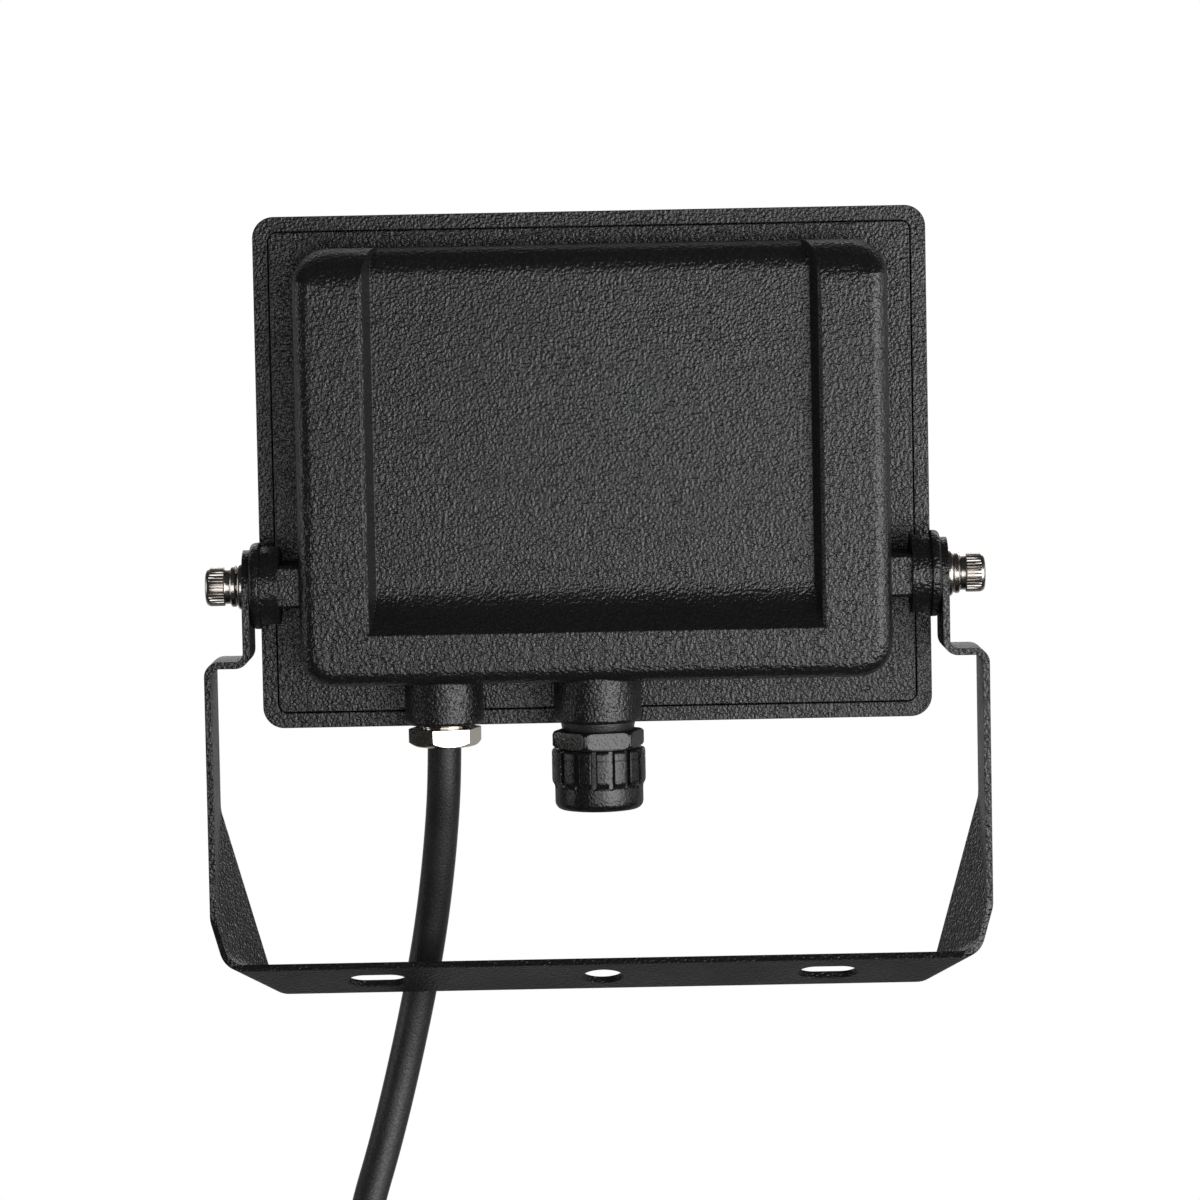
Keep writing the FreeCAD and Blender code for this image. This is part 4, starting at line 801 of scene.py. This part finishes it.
def cap_rule(height, radius):
    """Radius of the cap around one groove, whose lower end is round."""
    middle, half, slope, low, floor = math.pi / CAP_GROOVES, 0.82, 0.28, 5.65, 10.95

    def rule(angle):
        across = abs(angle - middle) * radius
        below = max(0.0, low + half - height)
        reach = math.sqrt(max(0.0, half ** 2 - below ** 2))
        depth = min(max((reach - across) / slope, 0.0), 1.0)
        depth = depth * depth * (3 - 2 * depth)
        return radius - depth * max(0.0, radius - floor)
    return rule


def make_cap():
    """Blind cap: a turned barrel with sixteen grooves between its ribs."""
    heights = [(0.0, 0.0), (0.0, 9.4), (0.1, 10.0), (0.35, 10.5), (0.75, 10.9), (1.25, 11.2), (1.9, 11.35),
               (4.0, 11.35), (5.4, 11.35), (5.65, 11.35), (5.75, 11.36), (5.9, 11.38), (6.1, 11.42),
               (6.3, 11.48), (6.47, 11.55), (6.8, 11.75), (7.2, 11.95), (7.5, 12.02), (8.0, 12.05),
               (13.15, 12.05), (13.25, 11.9), (13.4, 11.9), (13.5, 12.05), (14.9, 12.05), (15.3, 11.95),
               (15.55, 11.75), (CAP_HIGH, 11.5)]
    rows = [(h, cap_rule(h, r) if h > 5 else round_rule(r)) for h, r in heights]
    rows += round_rows((CAP_HIGH, 9.35), (15.4, 9.15), (2.6, 9.15), (2.6, 0))
    degrees = (0, 2.5, 5, 6.3, 7.1, 7.5, 7.9, 8.3, 8.7, 9.2, 10.2, 11.25,
               12.3, 13.3, 13.8, 14.2, 14.6, 15, 15.4, 16.2, 17.5, 20, 22.5)
    sector = sector_mesh("cap_sector", rows, [math.radians(d) for d in degrees])
    cap = grown("grooved_cap", AROUND_AXIS, sector, cap_plastic, Copies=CAP_GROOVES)
    smooth(cap, 40)
    cap = placed(cap, (0, 0, SOCKET_LOW - CAP_SEAL_THICK - CAP_HIGH), about_z(CAP_TURN))
    piece("grooved_cap", cap, cap_plastic, "cap", "black_plastic", "sensor_cap")


make_gland()
make_socket()
make_cap()


# Light chips

def box_shape(wide, tall, high, soft):
    """Block on the XY plane with bevelled edges."""
    shape = bmesh.new()
    bmesh.ops.create_cube(shape, size=1.0)
    bmesh.ops.scale(shape, verts=shape.verts, vec=(wide, tall, high))
    bmesh.ops.translate(shape, verts=shape.verts, vec=(0, 0, high / 2))
    if soft:
        bmesh.ops.bevel(shape, geom=shape.edges[:], offset=soft, segments=2, affect="EDGES", profile=0.5)
    return shape


def make_chips():
    """Forty light chips: a white package each, with a window of phosphor."""
    package = box_shape(3.5, 2.8, 0.8, 0.0)
    top = max(package.faces, key=lambda face: face.calc_center_median().z)
    bmesh.ops.inset_individual(package, faces=[top], thickness=0.3)
    bmesh.ops.translate(package, verts=top.verts, vec=(0, 0, -0.2))
    window = box_shape(2.88, 2.18, 0.66, 0.08)
    facing_front = Matrix.Rotation(math.radians(-90), 4, "X")
    for name, shape, finish, slot, nodes in (
            ("chip_packages", package, chip_white, "board_white", ["led_chips"]),
            ("chip_windows", window, phosphor, "chip_yellow", [])):
        mesh = bpy.data.meshes.new(name + "_one")
        shape.to_mesh(mesh)
        shape.free()
        many = grown(name, ROWS_AND_COLUMNS, mesh, finish, Columns=8, Rows=5)
        many = placed(many, (0, BOARD_FRONT, CHIPS_MIDDLE), facing_front)
        piece(name, many, finish, "head", slot, *nodes)


make_chips()


# Bared end of the cord and the tie around its coil

def make_cord_end():
    """Three coloured cores and their end sleeves under the free end of the cord."""
    end = CORD_END / MM
    made = []
    for i, (word, finish) in enumerate((("brown", core_brown), ("blue", core_blue), ("earth", core_earth))):
        angle = 2 * math.pi * i / 3
        spot = end + CORE_CIRCLE * Vector((math.cos(angle), math.sin(angle), 0))
        core = turned("core", [(0, -36.1, 0), (1.2, -36.1, 0.2), (1.2, -0.1, 0.2), (0, -0.1, 0)], count=24)
        smooth(core)
        core = placed(core, spot)
        made.append(piece(f"core_{word}", core, finish, "bracket", "core_brown", "cord_cores"))
        sleeve = turned("sleeve", [
            (1.22, -37.1, 0), (1.4, -37.1, 0.1), (1.4, -29.6, 0), (1.45, -29.4, 0), (1.45, -28.1, 0.1),
            (1.22, -28.1, 0)], loop=True, count=24)
        smooth(sleeve)
        sleeve = placed(sleeve, spot)
        made.append(piece(f"sleeve_{word}", sleeve, tin, "bracket", "ferrule_tin", "cord_ferrules"))
    return made


def make_tie():
    """Strap that goes once around the turns, with its lock."""
    centre = COIL_CENTRE / MM
    near, far = centre.y - TIE_REACH, centre.y + COIL_DEPTH / MM + TIE_REACH
    bottom = centre.z - COIL_RADIUS / MM
    low, high = bottom - TIE_REACH, bottom + TIE_REACH
    thick, wide, bend = 1.3, 4.8, 4.0
    corners = [(near, low, 180), (far, low, 270), (far, high, 0), (near, high, 90)]
    path = []
    for y, z, start in corners:
        inward = Vector((bend if y == near else -bend, bend if z == low else -bend))
        middle = Vector((y, z)) + inward
        for step in range(7):
            angle = math.radians(start + 15 * step)
            path.append((middle, Vector((math.cos(angle), math.sin(angle)))))
    section = [(0, -0.5), (0, 0.5), (thick - 0.3, 0.5), (thick, 0.44), (thick, -0.44),
               (thick - 0.3, -0.5)]
    shape = bmesh.new()
    rings = []
    for middle, out in path:
        ring = []
        for away, across in section:
            spot = middle + out * (bend + away)
            ring.append(shape.verts.new((centre.x + across * wide, spot.x, spot.y)))
        rings.append(ring)
    join_rings(shape, rings + rings[:1])
    lock = box_shape(6.8, 6.0, 4.0, 0.7)
    mesh = bpy.data.meshes.new("lock")
    lock.to_mesh(mesh)
    lock.free()
    mesh.transform(Matrix.Translation((centre.x, near + 7.0, high + 0.65)))
    shape.from_mesh(mesh)
    bpy.data.meshes.remove(mesh)
    strap = closed(shape, "tie_strap")
    smooth(strap)
    return piece("tie_strap", placed(strap, (0, 0, 0)), tie_plastic, "bracket", "tie_plastic", "cord_tie")


make_cord(make_cord_end() + [make_tie()])


# Studio, in metres

FLOOR_HEIGHT = -0.2
FLOOR_RADIUS = 0.45
FLOOR_GLOW = 0.35
DIM_GLOW = 0.03
SOFT_GLOW = 0.5


def area_light(name, place, target, width, height, power, shine=True):
    """Soft light that the camera doesn't see. One that doesn't shine shows in no reflection."""
    data = bpy.data.lights.new(name, "AREA")
    data.shape = "RECTANGLE"
    data.size = width
    data.size_y = height
    data.energy = power
    obj = linked(name, data)
    obj.location = place
    obj.rotation_euler = (Vector(target) - Vector(place)).to_track_quat("-Z", "Y").to_euler()
    obj.visible_camera = False
    obj.visible_glossy = shine


def world_step(tree, source, start, end, top):
    """Smooth rise from nothing to the top value."""
    made = tree.nodes.new("ShaderNodeMapRange")
    made.interpolation_type = "SMOOTHSTEP"
    made.inputs["From Min"].default_value = start
    made.inputs["From Max"].default_value = end
    made.inputs["To Max"].default_value = top
    tree.links.new(source, made.inputs["Value"])
    return made.outputs["Result"]


def make_world():
    """White to the camera and through glass. Reflections find it bright in a few zones only."""
    world = bpy.data.worlds.new("studio")
    world.use_nodes = True
    bpy.context.scene.world = world
    tree = world.node_tree
    back = tree.nodes["Background"]
    rays = tree.nodes.new("ShaderNodeLightPath")
    spot = tree.nodes.new("ShaderNodeTexCoord")
    split = tree.nodes.new("ShaderNodeSeparateXYZ")
    tree.links.new(spot.outputs["Generated"], split.inputs[0])
    ahead = split.outputs["Y"]
    sideways = math_node(tree, "ABSOLUTE", split.outputs["X"], 0.0)
    mirror = DIM_GLOW
    zones = ((ahead, 0.4, 0.7, 0.32), (ahead, 0.8, 0.95, 0.3), (sideways, 0.92, 0.98, 1.3))
    for axis, start, end, top in zones:
        mirror = math_node(tree, "ADD", world_step(tree, axis, start, end, top), mirror)
    seen = math_node(tree, "MAXIMUM", rays.outputs["Is Camera Ray"], rays.outputs["Is Transmission Ray"])
    shiny = math_node(tree, "MULTIPLY", rays.outputs["Is Glossy Ray"], mirror)
    soft = math_node(tree, "MULTIPLY", rays.outputs["Is Diffuse Ray"], SOFT_GLOW)
    level = math_node(tree, "ADD", math_node(tree, "MAXIMUM", seen, shiny), soft)
    back.inputs["Color"].default_value = (1, 1, 1, 1)
    tree.links.new(level, back.inputs["Strength"])


def make_floor():
    """Pale disc under the coil that takes the part's shadow and is clear from below."""
    mesh = bpy.data.meshes.new("floor")
    shape = bmesh.new()
    bmesh.ops.create_circle(shape, cap_ends=True, segments=64, radius=FLOOR_RADIUS)
    shape.to_mesh(mesh)
    shape.free()
    obj = linked("floor", mesh)
    obj.location = (0, 0, FLOOR_HEIGHT)
    obj.visible_glossy = False
    mat, shader = new_material("floor_paint", (0.8, 0.8, 0.8), 0.9)
    shader.inputs["Emission Color"].default_value = (1, 1, 1, 1)
    rays = add(mat, "ShaderNodeLightPath")
    glow = math_node(mat.node_tree, "MULTIPLY", rays.outputs["Is Camera Ray"], FLOOR_GLOW)
    wire(mat, glow, shader.inputs["Emission Strength"])
    under = add(mat, "ShaderNodeNewGeometry")
    clear = add(mat, "ShaderNodeBsdfTransparent")
    either = add(mat, "ShaderNodeMixShader")
    wire(mat, under.outputs["Backfacing"], either.inputs[0])
    wire(mat, shader.outputs[0], either.inputs[1])
    wire(mat, clear.outputs[0], either.inputs[2])
    wire(mat, either.outputs[0], mat.node_tree.nodes["Material Output"].inputs["Surface"])
    mesh.materials.append(mat)


def make_camera():
    """Camera that looks along +Y, turned as in the photograph."""
    data = bpy.data.cameras.new("camera")
    data.lens = CAMERA_LENS
    data.sensor_width = CAMERA_SENSOR
    data.shift_y = CAMERA_SHIFT
    obj = linked("camera", data)
    turn = (Matrix.Rotation(math.radians(CAMERA_YAW), 3, "Z")
            @ Matrix.Rotation(math.radians(CAMERA_PITCH), 3, "X"))
    roll = math.radians(CAMERA_ROLL)
    right = turn @ Vector((math.cos(roll), 0, -math.sin(roll)))
    upward = turn @ Vector((math.sin(roll), 0, math.cos(roll)))
    ahead = turn @ Vector((0, 1, 0))
    axes = Matrix((right, upward, -ahead)).transposed().to_4x4()
    obj.matrix_world = Matrix.Translation(PIVOT + CAMERA_PLACE) @ axes
    bpy.context.scene.camera = obj


make_floor()
make_world()
make_camera()
area_light("wide_softbox", (0.45, -1.15, -0.03), (0.45, 0, -0.03), 1.6, 0.6, 6.4)
area_light("right_softbox", (0.9, -1.0, 0.0), (0, 0, 0.05), 1.2, 1.0, 14)
area_light("overhead", (0, 0, 1.3), (0, 0, 0), 1.6, 1.6, 5, shine=False)
area_light("front_fill", (0, 1.4, 0.55), (0, 0, 0.1), 1.6, 1.0, 11)
bpy.context.scene.view_settings.view_transform = "Standard"
